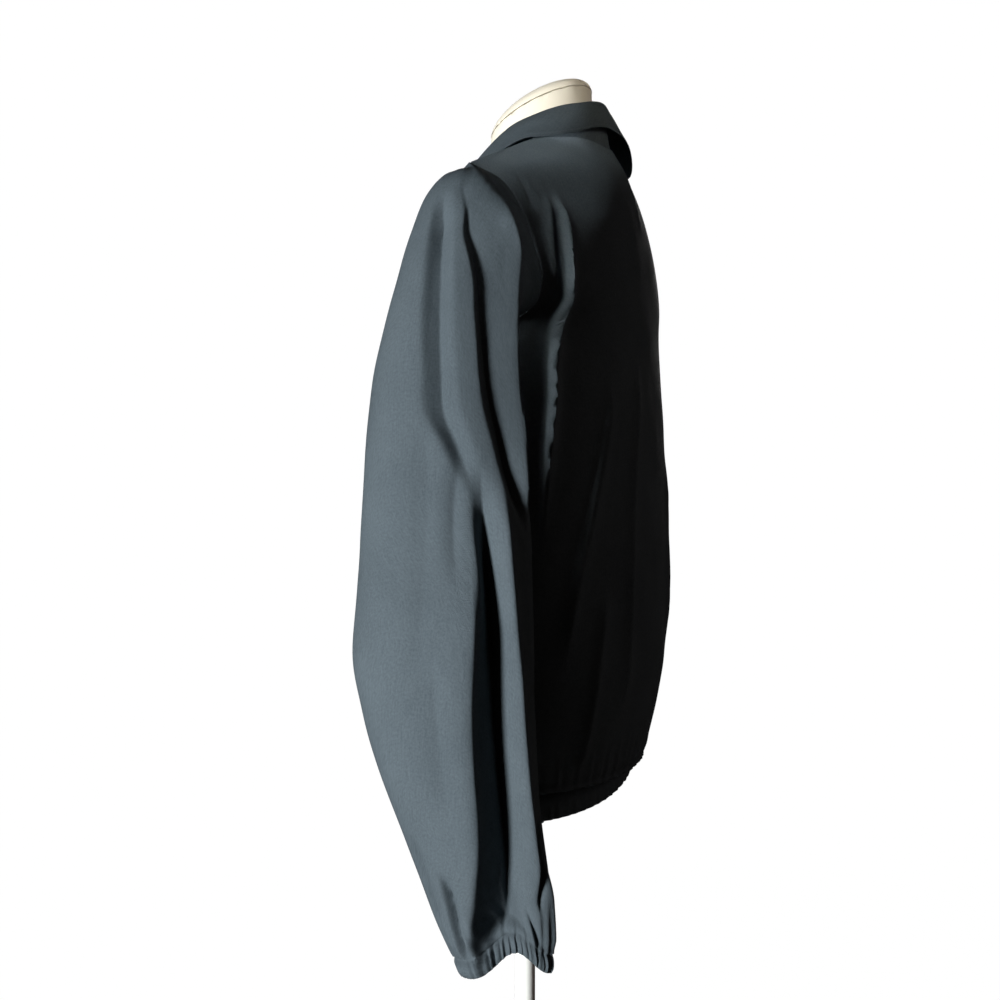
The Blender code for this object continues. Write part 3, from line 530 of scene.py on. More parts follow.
SHARES = np.linspace(0, 1, HALF_COLUMNS + 1)
ROW_KEYS = np.append(BELOW_ARMPIT, np.linspace(ARMPIT_Z, BACK_YOKE[-1].z, ARMHOLE_ROWS + 1)[1:])
ARMPIT_ROW = len(BELOW_ARMPIT) - 1


def panel_form(yoke, is_front):
    """Smooth form of half a panel on the left: rows from hem to neck, columns from centre to side."""
    turn = SHARES * math.pi / 2
    sine = rounded(np.sin(turn), BODY_ROUND)
    cosine = rounded(np.cos(turn), BODY_ROUND)
    cosine[-1] = 0
    keys = []
    rows = []
    for section in BODY_SECTIONS:
        depth = (section.front_y if is_front else section.back_y) - section.side_y
        keys.append(section.z)
        rows.append(np.stack([section.half_width * sine, section.side_y + depth * cosine,
                              np.full(len(turn), section.z)], axis=1))
    for row in yoke:
        points = (row.centre, row.inner, row.middle, row.outer, row.edge)
        keys.append(row.z)
        rows.append(smooth_through(np.linspace(0, 1, len(points)), points, SHARES))
    shoulder = np.linspace(0, 1, HALF_COLUMNS - NECK_COLUMN + 1)[:, None]
    rows[-1][NECK_COLUMN:] = np.array(NECK_POINT) * (1 - shoulder) + np.array(SHOULDER_TIP) * shoulder
    form = smooth_through(keys, np.array(rows), ROW_KEYS)
    form[:, 0, 0] = 0
    return form


BACK_FORM = panel_form(BACK_YOKE, False)
FRONT_FORM = panel_form(FRONT_YOKE, True)
FRONT_FORM[: ARMPIT_ROW + 1, -1] = BACK_FORM[: ARMPIT_ROW + 1, -1]


def body_normals():
    """Normals of the back and front halves, the same on both sides of each seam."""
    outward = np.array(BACK_OUTWARD)
    back = grid_normals(BACK_FORM, False, outward)
    front = grid_normals(FRONT_FORM, False, outward * np.array([1, -1, 1]))
    for normals in (back, front):
        normals[:, 0, 0] = 0
    side = back[:ARMPIT_ROW, -1] + front[:ARMPIT_ROW, -1]
    shoulder = back[-1, NECK_COLUMN:] + front[-1, NECK_COLUMN:]
    for normals in (back, front):
        normals[:ARMPIT_ROW, -1] = side
        normals[-1, NECK_COLUMN:] = shoulder
        normals[0] = level(normals[0])
    return unit(back), unit(front)


BACK_NORMALS, FRONT_NORMALS = body_normals()


def set_back(edge, beside, distance):
    return edge + unit(beside - edge) * distance


def hung_panel(form, normals, creases, start):
    """Half a panel with its creases, hem gathers and handling, which die away at the seams.

    The armhole's edge sinks a little under the edge of the sleeve.
    """
    heights = form[..., 2]
    places = np.broadcast_to(SHARES, heights.shape)
    side = eased((1 - SHARES) / SIDE_FADE)
    drawn = below(heights, *DRAWN_TOP) * above(heights, *DRAWN_LOW)
    handled = side * below(heights, *RUMPLE_TOP) * above(heights, *RUMPLE_LOW)
    rise = crease_heights(creases, heights, places) * side
    rise += HEM_GATHER_DEPTH * drawn * gathers(places / 4, HEM_GATHERS, start)
    rise += BODY_RUMPLE * rumple(form, RUMPLE_SIZE) * handled
    panel = form + normals * rise[..., None]
    panel[-1] = form[-1]
    half_gap = SEAM_GAP / 2
    side_seam = slice(0, ARMPIT_ROW + 1)
    panel[side_seam, -1] = set_back(panel[side_seam, -1], panel[side_seam, -2], half_gap)
    for column, share in enumerate(SEAM_SINK_SHARES, start=1):
        panel[ARMPIT_ROW + 1:, -column] -= normals[ARMPIT_ROW + 1:, -column] * SEAM_SINK * share
    panel[-1, NECK_COLUMN:] = set_back(panel[-1, NECK_COLUMN:], panel[-2, NECK_COLUMN:], half_gap)
    return panel


nylon = nylon_finish()
left_half = hung_panel(BACK_FORM, BACK_NORMALS, BACK_LEFT_CREASES, start=0.6)
right_half = mirrored(hung_panel(BACK_FORM, BACK_NORMALS, BACK_RIGHT_CREASES, start=2.1))
left_half[:, 0] = (left_half[:, 0] + right_half[:, 0]) / 2
back_grid = np.concatenate([right_half[:, :0:-1], left_half], axis=1)
back_normals = np.concatenate([mirrored(BACK_NORMALS)[:, :0:-1], BACK_NORMALS], axis=1)
cloth_sheet("back_panel", back_grid, back_normals, False, nylon, "back")

# Front panels
# Two pieces of the same nylon, joined to the back at the sides and shoulders. Their front edges meet on
# the centre line under the placket.

FRONT_LEFT_CREASES = (
    Crease(((1.200, 0.620), (1.060, 0.580), (0.880, 0.500)), 0.035, 0.045, 0.0050, 0.06, 0.06),
    Crease(((1.080, 0.340), (0.940, 0.380), (0.770, 0.340)), 0.030, 0.040, 0.0045, 0.06, 0.02),
    Crease(((1.230, 0.860), (1.140, 0.780), (1.020, 0.760)), 0.035, 0.040, -0.0050, 0.04, 0.06),
    Crease(((0.920, 0.720), (0.850, 0.680), (0.770, 0.700)), 0.030, 0.035, 0.0040, 0.05, 0.02),
)
FRONT_RIGHT_CREASES = (
    Crease(((1.180, 0.580), (1.020, 0.600), (0.850, 0.540)), 0.040, 0.035, 0.0050, 0.06, 0.06),
    Crease(((1.020, 0.320), (0.920, 0.280), (0.770, 0.340)), 0.035, 0.030, 0.0045, 0.06, 0.02),
    Crease(((1.240, 0.840), (1.130, 0.800), (1.000, 0.740)), 0.035, 0.035, -0.0045, 0.04, 0.06),
    Crease(((0.900, 0.780), (0.840, 0.740), (0.770, 0.760)), 0.030, 0.030, 0.0040, 0.04, 0.02),
)
front_left_grid = hung_panel(FRONT_FORM, FRONT_NORMALS, FRONT_LEFT_CREASES, start=3.3)
front_right_grid = hung_panel(FRONT_FORM, FRONT_NORMALS, FRONT_RIGHT_CREASES, start=4.2)
for panel in (front_left_grid, front_right_grid):
    panel[:, 0, 0] += SEAM_GAP / 2
cloth_sheet("front_panel_left", front_left_grid, FRONT_NORMALS, False, nylon, "front_left")
cloth_sheet("front_panel_right", mirrored(front_right_grid), mirrored(FRONT_NORMALS), False, nylon,
            "front_right")

# Sleeves
# Roomy set-in sleeves of the same nylon, each one piece closed at the underarm. They hang in long folds
# from the shoulder, swell above the wrist and are gathered into the cuffs. The right one hangs further
# forward.

ARMHOLE_CENTRE_Y = 0.012
ARMHOLE_CENTRE_Z = 1.196
SLEEVE_ROWS = 236
SLEEVE_CROWDING = 0.45
SLEEVE_CROWDED_AT = 2.64
SLEEVE_ROUND = 0.95
RIGHT_SWING_Y = -0.141
SWING_FROM_Z = 0.95
SWING_TO_Z = 0.67
SWING_POWER = 1.4
CUFF_HEIGHT = 0.015
CUFF_LOW_Z = 0.628
CUFF_SLOPE = 0.004
CUFF_ARCH = 0.0200
CUFF_ARCH_AT = 158
CUFF_ARCH_WIDTH = 34
CUFF_INNER_RISE = 0.012
Loop = namedtuple("Loop", "outer_x outer_z inner_x inner_z mid_y front back")
SLEEVE_LOOPS = (
    Loop(0.222, 1.2650, 0.1965, 1.1195, 0.012, 0.041, 0.055),
    Loop(0.245, 1.2340, 0.1985, 1.1030, 0.010, 0.0435, 0.053),
    Loop(0.265, 1.1780, 0.1995, 1.0770, 0.009, 0.0515, 0.053),
    Loop(0.276, 1.1180, 0.2000, 1.0450, 0.007, 0.0605, 0.058),
    Loop(0.281, 1.0550, 0.2000, 1.0100, 0.007, 0.0655, 0.065),
    Loop(0.283, 0.9950, 0.2000, 0.9650, 0.007, 0.068, 0.070),
    Loop(0.284, 0.9350, 0.1995, 0.9150, 0.006, 0.071, 0.073),
    Loop(0.284, 0.8800, 0.1990, 0.8700, 0.005, 0.074, 0.075),
    Loop(0.282, 0.8350, 0.1990, 0.8280, 0.009, 0.070, 0.071),
    Loop(0.277, 0.7900, 0.1995, 0.7850, 0.016, 0.065, 0.066),
    Loop(0.270, 0.7400, 0.2010, 0.7380, 0.027, 0.057, 0.059),
    Loop(0.262, 0.6950, 0.2050, 0.6950, 0.037, 0.050, 0.054),
    Loop(0.2547, 0.6450, 0.2122, 0.6450, 0.0525, 0.0395, 0.0395),
)
# Places are angles in degrees from the body side through the back, and the more side is the front
SLEEVE_LEFT_CREASES = (
    Fold(((1.252, 194, 187, 178), (1.237, 192.5, 184.5, 174), (1.219, 191.5, 182.5, 171),
          (1.200, 190.5, 181.5, 170), (1.175, 188.5, 179, 167), (1.148, 186, 176.5, 164),
          (1.105, 182, 173, 160), (1.062, 178, 169, 156), (1.048, 171, 163, 151),
          (1.023, 161, 154, 143), (1.000, 153, 147, 138)), -0.0105, 0.045, 0.05),
    Fold(((1.260, 176.5, 174, 160), (1.246, 172, 169.5, 150), (1.230, 164.5, 162, 138),
          (1.207, 160.5, 157.5, 122), (1.189, 153, 149.5, 112), (1.166, 146, 141.5, 104),
          (1.148, 144, 138.5, 101), (1.122, 140.5, 134, 99), (1.095, 139, 131.5, 98),
          (1.073, 137, 128.5, 98), (1.047, 131, 123, 98), (1.019, 124, 116.5, 97),
          (0.990, 113, 106, 92), (0.960, 100, 93, 82)), -0.0080, 0.08, 0.05),
    Fold(((1.040, 152, 144, 134), (0.985, 149, 141.5, 130), (0.940, 144, 138, 125),
          (0.922, 143, 135, 123), (0.888, 144.5, 131, 119), (0.842, 148, 127, 115),
          (0.798, 151.5, 127.5, 114), (0.753, 156.5, 132, 116), (0.719, 164, 141, 120),
          (0.686, 177, 157, 124), (0.665, 189, 171, 134), (0.640, 200, 186, 148)), -0.0290, 0.13, 0.004),
    Crease(((0.960, 151), (0.888, 149), (0.842, 152), (0.798, 155.5), (0.753, 160.5), (0.719, 168),
            (0.686, 181), (0.665, 193), (0.640, 204)), 26, 4, 0.0085, 0.08, 0.004),
    Crease(((1.030, 128), (0.940, 121), (0.888, 117), (0.842, 113), (0.798, 112), (0.753, 112), (0.719, 114),
            (0.690, 118)), 8, 7, 0.0060, 0.06, 0.03),
    Crease(((0.740, 103), (0.700, 98), (0.665, 95), (0.640, 93)), 18, 8, 0.0060, 0.05, 0.004),
    Crease(((1.245, 140), (1.225, 126), (1.194, 107), (1.165, 102), (1.120, 98), (1.070, 98), (1.020, 99),
            (0.960, 96)), 11, 5, 0.0080, 0.03, 0.06),
    Crease(((1.240, 110), (1.200, 93), (1.165, 86), (1.120, 80), (1.060, 80)), 9, 30, -0.0060, 0.03, 0.05),
    Crease(((1.274, 158), (1.251, 141.5), (1.236, 126)), 5, 4, -0.0045, 0.012, 0.012),
    Crease(((1.280, 150), (1.264, 134), (1.248, 118)), 5, 4, -0.0035, 0.012, 0.012),
    Crease(((1.080, 181), (1.053, 181), (1.000, 180), (0.947, 180), (0.894, 181), (0.830, 183)),
           12, 10, -0.0028, 0.06, 0.08),
    Crease(((1.045, 158), (0.990, 163), (0.930, 161)), 6, 7, -0.0035, 0.04, 0.04),
    Crease(((0.900, 172), (0.820, 176), (0.740, 182)), 9, 8, -0.0030, 0.06, 0.06),
    Fold(((0.714, 203, 199, 190), (0.682, 208, 204, 194), (0.665, 213, 209, 198), (0.640, 217, 212, 200)),
         -0.0085, 0.02, 0.006),
    Crease(((0.755, 99), (0.722, 104), (0.700, 110), (0.680, 116)), 4, 4, -0.0055, 0.02, 0.015),
    Crease(((0.690, 132), (0.669, 125.5), (0.650, 116)), 4, 4, -0.0045, 0.012, 0.010),
    Crease(((0.730, 149), (0.709, 153), (0.686, 160), (0.655, 173)), 2.5, 2.5, 0.0020, 0.02, 0.02),
    Crease(((0.740, 226), (0.705, 229), (0.665, 234)), 5, 6, -0.0040, 0.02, 0.012),
)
SLEEVE_RIGHT_CREASES = (
    Fold(((1.245, 193, 184, 174), (1.190, 191, 182, 170), (1.140, 187, 178, 165), (1.060, 179, 170, 157),
          (1.010, 168, 160, 150)), -0.0075, 0.04, 0.05),
    Fold(((1.250, 173, 168, 152), (1.200, 160, 152, 120), (1.140, 148, 138, 104), (1.060, 134, 124, 98),
          (0.970, 109, 100, 86)), -0.0120, 0.03, 0.07),
    Fold(((0.990, 236, 228, 218), (0.900, 232, 222, 208), (0.800, 230, 212, 198), (0.700, 218, 198, 184),
          (0.650, 208, 190, 178)), -0.0140, 0.10, 0.012),
    Fold(((0.960, 126, 118, 108), (0.860, 142, 126, 114), (0.760, 152, 136, 122), (0.660, 166, 146, 130)),
         -0.0130, 0.08, 0.012),
    Crease(((0.730, 250), (0.700, 244), (0.650, 240)), 5, 5, -0.0050, 0.02, 0.012),
    Crease(((0.720, 92), (0.690, 98), (0.650, 104)), 5, 5, -0.0045, 0.02, 0.012),
)
ARMHOLE_FADE = 0.3
SLEEVE_END_FADE = 0.25
SEWN_FOLD_SHARE = 0.55
SLEEVE_DRAWN_TOP = (0.705, 0.045)
SLEEVE_GATHERS = 27
SLEEVE_GATHER_DEPTH = 0.0012
SLEEVE_RUMPLE = 0.0006
CAP_PUCKERS = 13
CAP_PUCKER_DEPTH = 0.0005
CAP_PUCKER_PEAK = 0.5
ALLOWANCE_WIDTH = 0.003
ALLOWANCE_SINK = 0.0026
Sleeve = namedtuple("Sleeve", "grid normals angles end_rise")


def armhole_loop():
    """Armhole from the armpit up the back to the shoulder tip and down the front, with its normals."""
    lines = []
    for back, front in ((BACK_FORM, FRONT_FORM), (BACK_NORMALS, FRONT_NORMALS)):
        line = np.concatenate([back[ARMPIT_ROW:, -1], front[ARMPIT_ROW + 1:-1, -1][::-1]])
        middles = (line + np.roll(line, -1, axis=0)) / 2
        lines.append(np.stack([line, middles], axis=1).reshape(-1, 3))
    return lines[0], unit(lines[1])


def away_from_body(armhole):
    """Directions that lead from the armhole's edge out into the sleeve."""
    spokes = armhole - np.array([0, ARMHOLE_CENTRE_Y, ARMHOLE_CENTRE_Z])
    spokes[:, 0] = 0
    along = np.roll(armhole, -1, axis=0) - np.roll(armhole, 1, axis=0)
    away = unit(np.cross(along, unit(spokes)))
    return away * np.sign(away[:, :1].sum())


def swung(z, swing):
    return swing * np.clip((SWING_FROM_Z - z) / (SWING_FROM_Z - SWING_TO_Z), 0, 1) ** SWING_POWER


def cuff_edge_z(angle):
    """Height of the cuff's lower edge: low in front, arched on the outer side, raised towards the body."""
    arch = np.exp(-(((np.degrees(angle) - CUFF_ARCH_AT) / CUFF_ARCH_WIDTH) ** 2))
    body_side = np.clip(np.cos(angle), 0, 1) ** 2
    return CUFF_LOW_Z + CUFF_SLOPE * np.sin(angle) + CUFF_ARCH * arch + CUFF_INNER_RISE * body_side


def sleeve_grid(creases, swing, start):
    """Sleeve on the left, from inside the armhole to the cuff seam."""
    armhole, panel_normals = armhole_loop()
    away = away_from_body(armhole)
    share = np.arange(len(armhole)) / len(armhole)
    shift = SLEEVE_CROWDED_AT - math.pi
    angle = 2 * math.pi * share + SLEEVE_CROWDING * np.sin(2 * math.pi * share - shift)
    cosine = rounded(np.cos(angle), SLEEVE_ROUND)
    sine = rounded(np.sin(angle), SLEEVE_ROUND)
    outward = (1 - cosine) / 2
    loops = [armhole + away * SEAM_GAP]
    for loop in SLEEVE_LOOPS:
        x = loop.inner_x + (loop.outer_x - loop.inner_x) * outward
        z = loop.inner_z + (loop.outer_z - loop.inner_z) * outward
        y = loop.mid_y + swung(z, swing) + np.where(sine > 0, loop.back, loop.front) * sine
        loops.append(np.stack([x, y, z], axis=1))
    loops[-1][:, 2] = cuff_edge_z(angle) + CUFF_HEIGHT + SEAM_GAP
    places = np.linspace(0, len(SLEEVE_LOOPS), SLEEVE_ROWS + 1)
    grid = smooth_through(np.arange(len(loops)), np.array(loops), places)
    normals = grid_normals(grid, True, np.stack([-cosine, sine, 0 * sine], axis=1))
    normals[-1] = level(normals[-1])
    heights = grid[..., 2]
    degrees = np.broadcast_to(np.degrees(angle), heights.shape)
    seam = above(places, 0, ARMHOLE_FADE)[:, None]
    end = below(places, len(SLEEVE_LOOPS), SLEEVE_END_FADE)[:, None]
    free = seam * (SEWN_FOLD_SHARE + (1 - SEWN_FOLD_SHARE) * end)
    pucker = (places * np.exp(1 - places / CAP_PUCKER_PEAK) / CAP_PUCKER_PEAK)[:, None]
    drawn = below(heights, *SLEEVE_DRAWN_TOP)
    rise = crease_heights(creases, heights, degrees) * free
    rise += SLEEVE_GATHER_DEPTH * drawn * gathers(degrees / 360, SLEEVE_GATHERS, start)
    rise += CAP_PUCKER_DEPTH * gathers(share, CAP_PUCKERS, start) * pucker
    rise += SLEEVE_RUMPLE * rumple(grid, RUMPLE_SIZE) * free
    sleeve = grid + normals * rise[..., None]
    tucked = armhole - away * ALLOWANCE_WIDTH - panel_normals * ALLOWANCE_SINK
    turned_in = armhole - panel_normals * ALLOWANCE_SINK + away * SEAM_GAP
    sleeve = np.concatenate([[tucked], [turned_in], sleeve])
    normals = np.concatenate([[panel_normals], [panel_normals], normals])
    return Sleeve(sleeve, normals, angle, rise[-1])


left_sleeve = sleeve_grid(SLEEVE_LEFT_CREASES, swing=0.0, start=1.1)
cloth_sheet("sleeve_cloth_left", left_sleeve.grid, left_sleeve.normals, True, nylon, "sleeve_left")
right_sleeve = sleeve_grid(SLEEVE_RIGHT_CREASES, swing=RIGHT_SWING_Y, start=2.6)
cloth_sheet("sleeve_cloth_right", mirrored(right_sleeve.grid), mirrored(right_sleeve.normals), True, nylon,
            "sleeve_right")

# Cuffs
# Narrow casings of the same nylon with elastic inside, so they stand in small uneven gathers. The lower
# edge rises in an arch on the outer side, and the upper edge is tucked under the sleeve.

CuffRing = namedtuple("CuffRing", "share mid_x half_x mid_y half_y gather")
CUFF_RINGS = (
    CuffRing(0.25, 0.2335, 0.0210, 0.0530, 0.0386, 0.0008),
    CuffRing(0.55, 0.2335, 0.0208, 0.0542, 0.0380, 0.0012),
    CuffRing(0.85, 0.2335, 0.0200, 0.0552, 0.0368, 0.0012),
    CuffRing(1.0, 0.2335, 0.0188, 0.0556, 0.0355, 0.0010),
)
CUFF_GATHERS = 50
CUFF_CROWDED_AT = 198
CUFF_CROWDED_WIDTH = 20
CUFF_ROWS = 20
CUFF_FOLD_LOSS = 0.6
CUFF_TUCK_IN = 0.0013
CUFF_TUCK_UP = 0.0025


def with_midpoints(values, closing):
    """Values round a loop with the middle of each step added. The last step leads to closing."""
    following = np.concatenate([values[1:], [closing]])
    return np.stack([values, (values + following) / 2], axis=1).reshape(-1, *values.shape[1:])


def cuff_grid(sleeve, swing, start):
    """Gathered casing under a sleeve's end on the left, from its tucked edge down, with its normals."""
    angle = with_midpoints(sleeve.angles, sleeve.angles[0] + 2 * math.pi)
    seam = with_midpoints(sleeve.grid[-1], sleeve.grid[-1, 0])
    outward = unit(with_midpoints(sleeve.normals[-1], sleeve.normals[-1, 0]))
    fold = outward * with_midpoints(sleeve.end_rise, sleeve.end_rise[0])[:, None]
    crowded = 1 + np.exp(-(((np.degrees(angle) - CUFF_CROWDED_AT) / CUFF_CROWDED_WIDTH) ** 2))
    wave = crowded * gathers(angle / (2 * math.pi), CUFF_GATHERS, start)
    edge_z = cuff_edge_z(angle)
    top = seam - outward * CUFF_TUCK_IN
    rings = [top + np.array([0, 0, CUFF_TUCK_UP]), top]
    for ring in CUFF_RINGS:
        x = ring.mid_x - (ring.half_x + ring.gather * wave) * np.cos(angle)
        y = ring.mid_y + swing + (ring.half_y + ring.gather * wave) * np.sin(angle)
        z = top[:, 2] + (edge_z - top[:, 2]) * ring.share
        rings.append(np.stack([x, y, z], axis=1) + fold * (1 - CUFF_FOLD_LOSS * ring.share))
    keys = [-CUFF_TUCK_UP / CUFF_HEIGHT, 0.0] + [ring.share for ring in CUFF_RINGS]
    grid = smooth_through(keys, np.array(rings), np.linspace(keys[0], 1, CUFF_ROWS + 1))
    from_middle = np.stack([-np.cos(angle), np.sin(angle), 0 * angle], axis=1)
    return grid, level(grid_normals(grid, True, from_middle))


left_cuff, left_cuff_normals = cuff_grid(left_sleeve, swing=0.0, start=1.1)
cloth_sheet("cuff_casing_left", left_cuff, left_cuff_normals, True, nylon, "cuff_left")
right_cuff, right_cuff_normals = cuff_grid(right_sleeve, swing=RIGHT_SWING_Y, start=2.6)
cloth_sheet("cuff_casing_right", mirrored(right_cuff), mirrored(right_cuff_normals), True, nylon,
            "cuff_right")

# Hem casing
# A narrow casing of the same nylon, sewn round the lower edge of the back and fronts. It is drawn in, so
# that the body blouses over it, stands in small gathers and dips a little on the left.

HEM_COLUMNS = 560
HEM_TILT = -0.058
HEM_TILT_FROM_X = -0.10
HEM_TILT_TO_X = 0.15
HEM_RINGS = (
    Section(0.7488, 0.1463, 0.000, -0.0898, 0.0923),
    Section(0.7464, 0.1471, 0.000, -0.0906, 0.0931),
    Section(0.7370, 0.1500, 0.000, -0.0930, 0.0960),
    Section(0.7305, 0.1480, 0.000, -0.0915, 0.0945),
)
HEM_SHARES = (0.0, 0.13, 0.65, 1.0)
HEM_ROWS = 14
HEM_WAVE_DEPTH = 0.0008


def section_ring(section, sides):
    """Closed loop of a body section, from the front centre round by the left."""
    angle = np.linspace(0, 2 * math.pi, sides, endpoint=False)
    sine = rounded(np.sin(angle), BODY_ROUND)
    cosine = rounded(np.cos(angle), BODY_ROUND)
    depth = np.where(cosine > 0, section.front_y - section.side_y, section.side_y - section.back_y)
    x = section.half_width * sine
    y = section.side_y + depth * cosine
    return np.stack([x, y, np.full(sides, section.z)], axis=1)


hem_rings = np.array([section_ring(section, HEM_COLUMNS) for section in HEM_RINGS])
hem_rings[-1, :, 2] += HEM_TILT * np.clip(hem_rings[-1, :, 0], HEM_TILT_FROM_X, HEM_TILT_TO_X)
hem_grid = smooth_through(HEM_SHARES, hem_rings, np.linspace(0, 1, HEM_ROWS + 1))
hem_normals = level(grid_normals(hem_grid, True, hem_grid * np.array([1, 1, 0])))
hem_wave = HEM_WAVE_DEPTH * gathers(np.arange(HEM_COLUMNS) / HEM_COLUMNS, HEM_GATHERS, start=0.6)
hem_grid = hem_grid + hem_normals * (np.linspace(0, 1, HEM_ROWS + 1)[:, None] * hem_wave)[..., None]
cloth_sheet("drawn_hem", hem_grid, hem_normals, True, nylon, "hem_casing")

# Collar
# A stand sewn to the neckline and a fall that turns down over it, both of the same nylon, with a row of
# stitches along the fall's edge. The fall sits up at the left back and flares at the right back.

CollarStation = namedtuple("CollarStation", "place fold edge")
COLLAR_LAST_PLACE = 24
STAND_TOP_DROP = 0.0022
STAND_BULGE = 0.001
STAND_TUCK_IN = 0.0014
STAND_TUCK_DOWN = 0.003
FallRow = namedtuple("FallRow", "share out up")
FALL_ROWS = (
    FallRow(0.0, -0.0012, 0.0),
    FallRow(0.0, 0.0028, -0.0009),
    FallRow(0.35, 0.0030, 0.0020),
    FallRow(0.70, 0.0021, 0.0),
    FallRow(1.0, 0.0, 0.0),
)
FALL_KEYS = (0.0, 0.08, 0.38, 0.70, 1.0)
COLLAR_STATIONS = (
    CollarStation(0, (0.004, -0.054, 1.290), (0.054, -0.083, 1.233)),
    CollarStation(3, (0.040, -0.024, 1.327), (0.080, -0.047, 1.277)),
    CollarStation(4.5, (0.052, 0.004, 1.346), (0.090, -0.010, 1.304)),
    CollarStation(6, (0.056, 0.030, 1.355), (0.0875, 0.022, 1.3235)),
    CollarStation(7.5, (0.050, 0.049, 1.362), (0.078, 0.046, 1.3270)),
    CollarStation(9, (0.037, 0.064, 1.367), (0.060, 0.063, 1.3335)),
    CollarStation(12, (0.000, 0.074, 1.3755), (0.004, 0.0875, 1.3485)),
    CollarStation(13.5, (-0.0185, 0.0705, 1.373), (-0.033, 0.095, 1.3416)),
    CollarStation(15, (-0.037, 0.064, 1.369), (-0.066, 0.0895, 1.321)),
    CollarStation(18, (-0.056, 0.030, 1.355), (-0.0885, 0.024, 1.3240)),
    CollarStation(19.5, (-0.052, 0.004, 1.346), (-0.090, -0.010, 1.304)),
    CollarStation(21, (-0.040, -0.024, 1.327), (-0.080, -0.047, 1.277)),
    CollarStation(24, (-0.004, -0.054, 1.290), (-0.054, -0.083, 1.233)),
)
STAND_GRID_ROWS = 16
FALL_GRID_ROWS = 44
FALL_STITCH_ROW = 40
Stitch = namedtuple("Stitch", "along radius rise")
STITCH_STEP = 0.0034
STITCH_LENGTH = 0.0026
STITCH_SIDES = 6
STITCH_RINGS = (
    Stitch(-0.5, 0.00010, -0.00012),
    Stitch(-0.28, 0.00022, 0.00006),
    Stitch(0.28, 0.00022, 0.00006),
    Stitch(0.5, 0.00010, -0.00012),
)
THREAD_TONES = ((0.075, 0.092, 0.105), (0.115, 0.140, 0.158))


def thread_finish():
    finish = Finish("slate_thread", {"Specular IOR Level": 0.3})
    place = finish.place("Object")
    finish.colour(finish.grain(place, scale=2500), *THREAD_TONES)
    finish.roughness(least=0.62, spread=0.2, tone=finish.grain(place, scale=900))
    finish.relief(finish.grain(place, scale=6000), distance=0.0001, strength=0.3)
    return finish.material


def sewn_line(name, line, normals, material):
    """Row of stitches along a line on the cloth, each a short thread that dips in at its ends."""
    run = np.append(0, np.cumsum(np.linalg.norm(np.diff(line, axis=0), axis=1)))
    centres = np.arange(STITCH_STEP / 2, run[-1], STITCH_STEP)

    def at(lengths, values):
        return np.stack([np.interp(lengths, run, part) for part in values.T], axis=1)

    place = at(centres, line)
    along = unit(at(centres + STITCH_STEP / 4, line) - at(centres - STITCH_STEP / 4, line))
    out = at(centres, normals)
    side = unit(np.cross(along, out))
    out = np.cross(side, along)
    turn = np.linspace(0, 2 * math.pi, STITCH_SIDES, endpoint=False)
    points = []
    for ring in STITCH_RINGS:
        middle = place + along * ring.along * STITCH_LENGTH + out * ring.rise
        spokes = side[:, None] * np.cos(turn)[None, :, None] + out[:, None] * np.sin(turn)[None, :, None]
        points.append(middle[:, None] + spokes * ring.radius)
    points = np.stack(points, axis=1)
    faces = []
    per_stitch = len(STITCH_RINGS) * STITCH_SIDES
    for first in range(0, len(centres) * per_stitch, per_stitch):
        for ring in range(len(STITCH_RINGS) - 1):
            for step in range(STITCH_SIDES):
                low = first + ring * STITCH_SIDES
                high = low + STITCH_SIDES
                beside = (step + 1) % STITCH_SIDES
                faces.append((low + step, low + beside, high + beside, high + step))
        faces.append(tuple(range(first + STITCH_SIDES - 1, first - 1, -1)))
        faces.append(tuple(range(first + per_stitch - STITCH_SIDES, first + per_stitch)))
    mesh = bpy.data.meshes.new(name)
    mesh.from_pydata(points.reshape(-1, 3).tolist(), [], faces)
    piece = set_out(name, mesh)
    bpy.ops.object.mode_set(mode="EDIT")
    bpy.ops.mesh.select_all(action="SELECT")
    bpy.ops.mesh.normals_make_consistent(inside=False)
    bpy.ops.object.mode_set(mode="OBJECT")
    bpy.ops.object.shade_smooth()
    mesh.materials.append(material)
    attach(piece, "root")


left_neck = np.concatenate([FRONT_FORM[-1, : NECK_COLUMN + 1], BACK_FORM[-1, :NECK_COLUMN][::-1]])
neckline = np.concatenate([left_neck, mirrored(left_neck)[-2::-1]])
collar_places = np.linspace(0, COLLAR_LAST_PLACE, len(neckline))
station_places = [station.place for station in COLLAR_STATIONS]
fold_line = smooth_through(station_places, [station.fold for station in COLLAR_STATIONS], collar_places)
edge_line = smooth_through(station_places, [station.edge for station in COLLAR_STATIONS], collar_places)
upward = np.array([0, 0, 1.0])
collar_out = level(np.cross(np.gradient(fold_line, axis=0), upward))
if (collar_out * (fold_line - fold_line.mean(axis=0))).sum() < 0:
    collar_out = -collar_out
collar_foot = neckline - collar_out * STAND_TUCK_IN - upward * STAND_TUCK_DOWN
collar_foot[0, 0] += SEAM_GAP
collar_foot[-1, 0] -= SEAM_GAP
stand_top = fold_line - upward * STAND_TOP_DROP
stand_rows = np.array([collar_foot, (collar_foot + stand_top) / 2 + collar_out * STAND_BULGE, stand_top])
stand_grid = smooth_through([0, 0.5, 1], stand_rows, np.linspace(0, 1, STAND_GRID_ROWS + 1))
cloth_sheet("collar_stand_cloth", stand_grid, np.broadcast_to(collar_out, stand_grid.shape), False, nylon,
            "collar_stand")
fall_rows = []
for row in FALL_ROWS:
    turned_down = fold_line * (1 - row.share) + edge_line * row.share
    fall_rows.append(turned_down + collar_out * row.out + upward * row.up)
fall_grid = smooth_through(FALL_KEYS, np.array(fall_rows), np.linspace(0, 1, FALL_GRID_ROWS + 1))
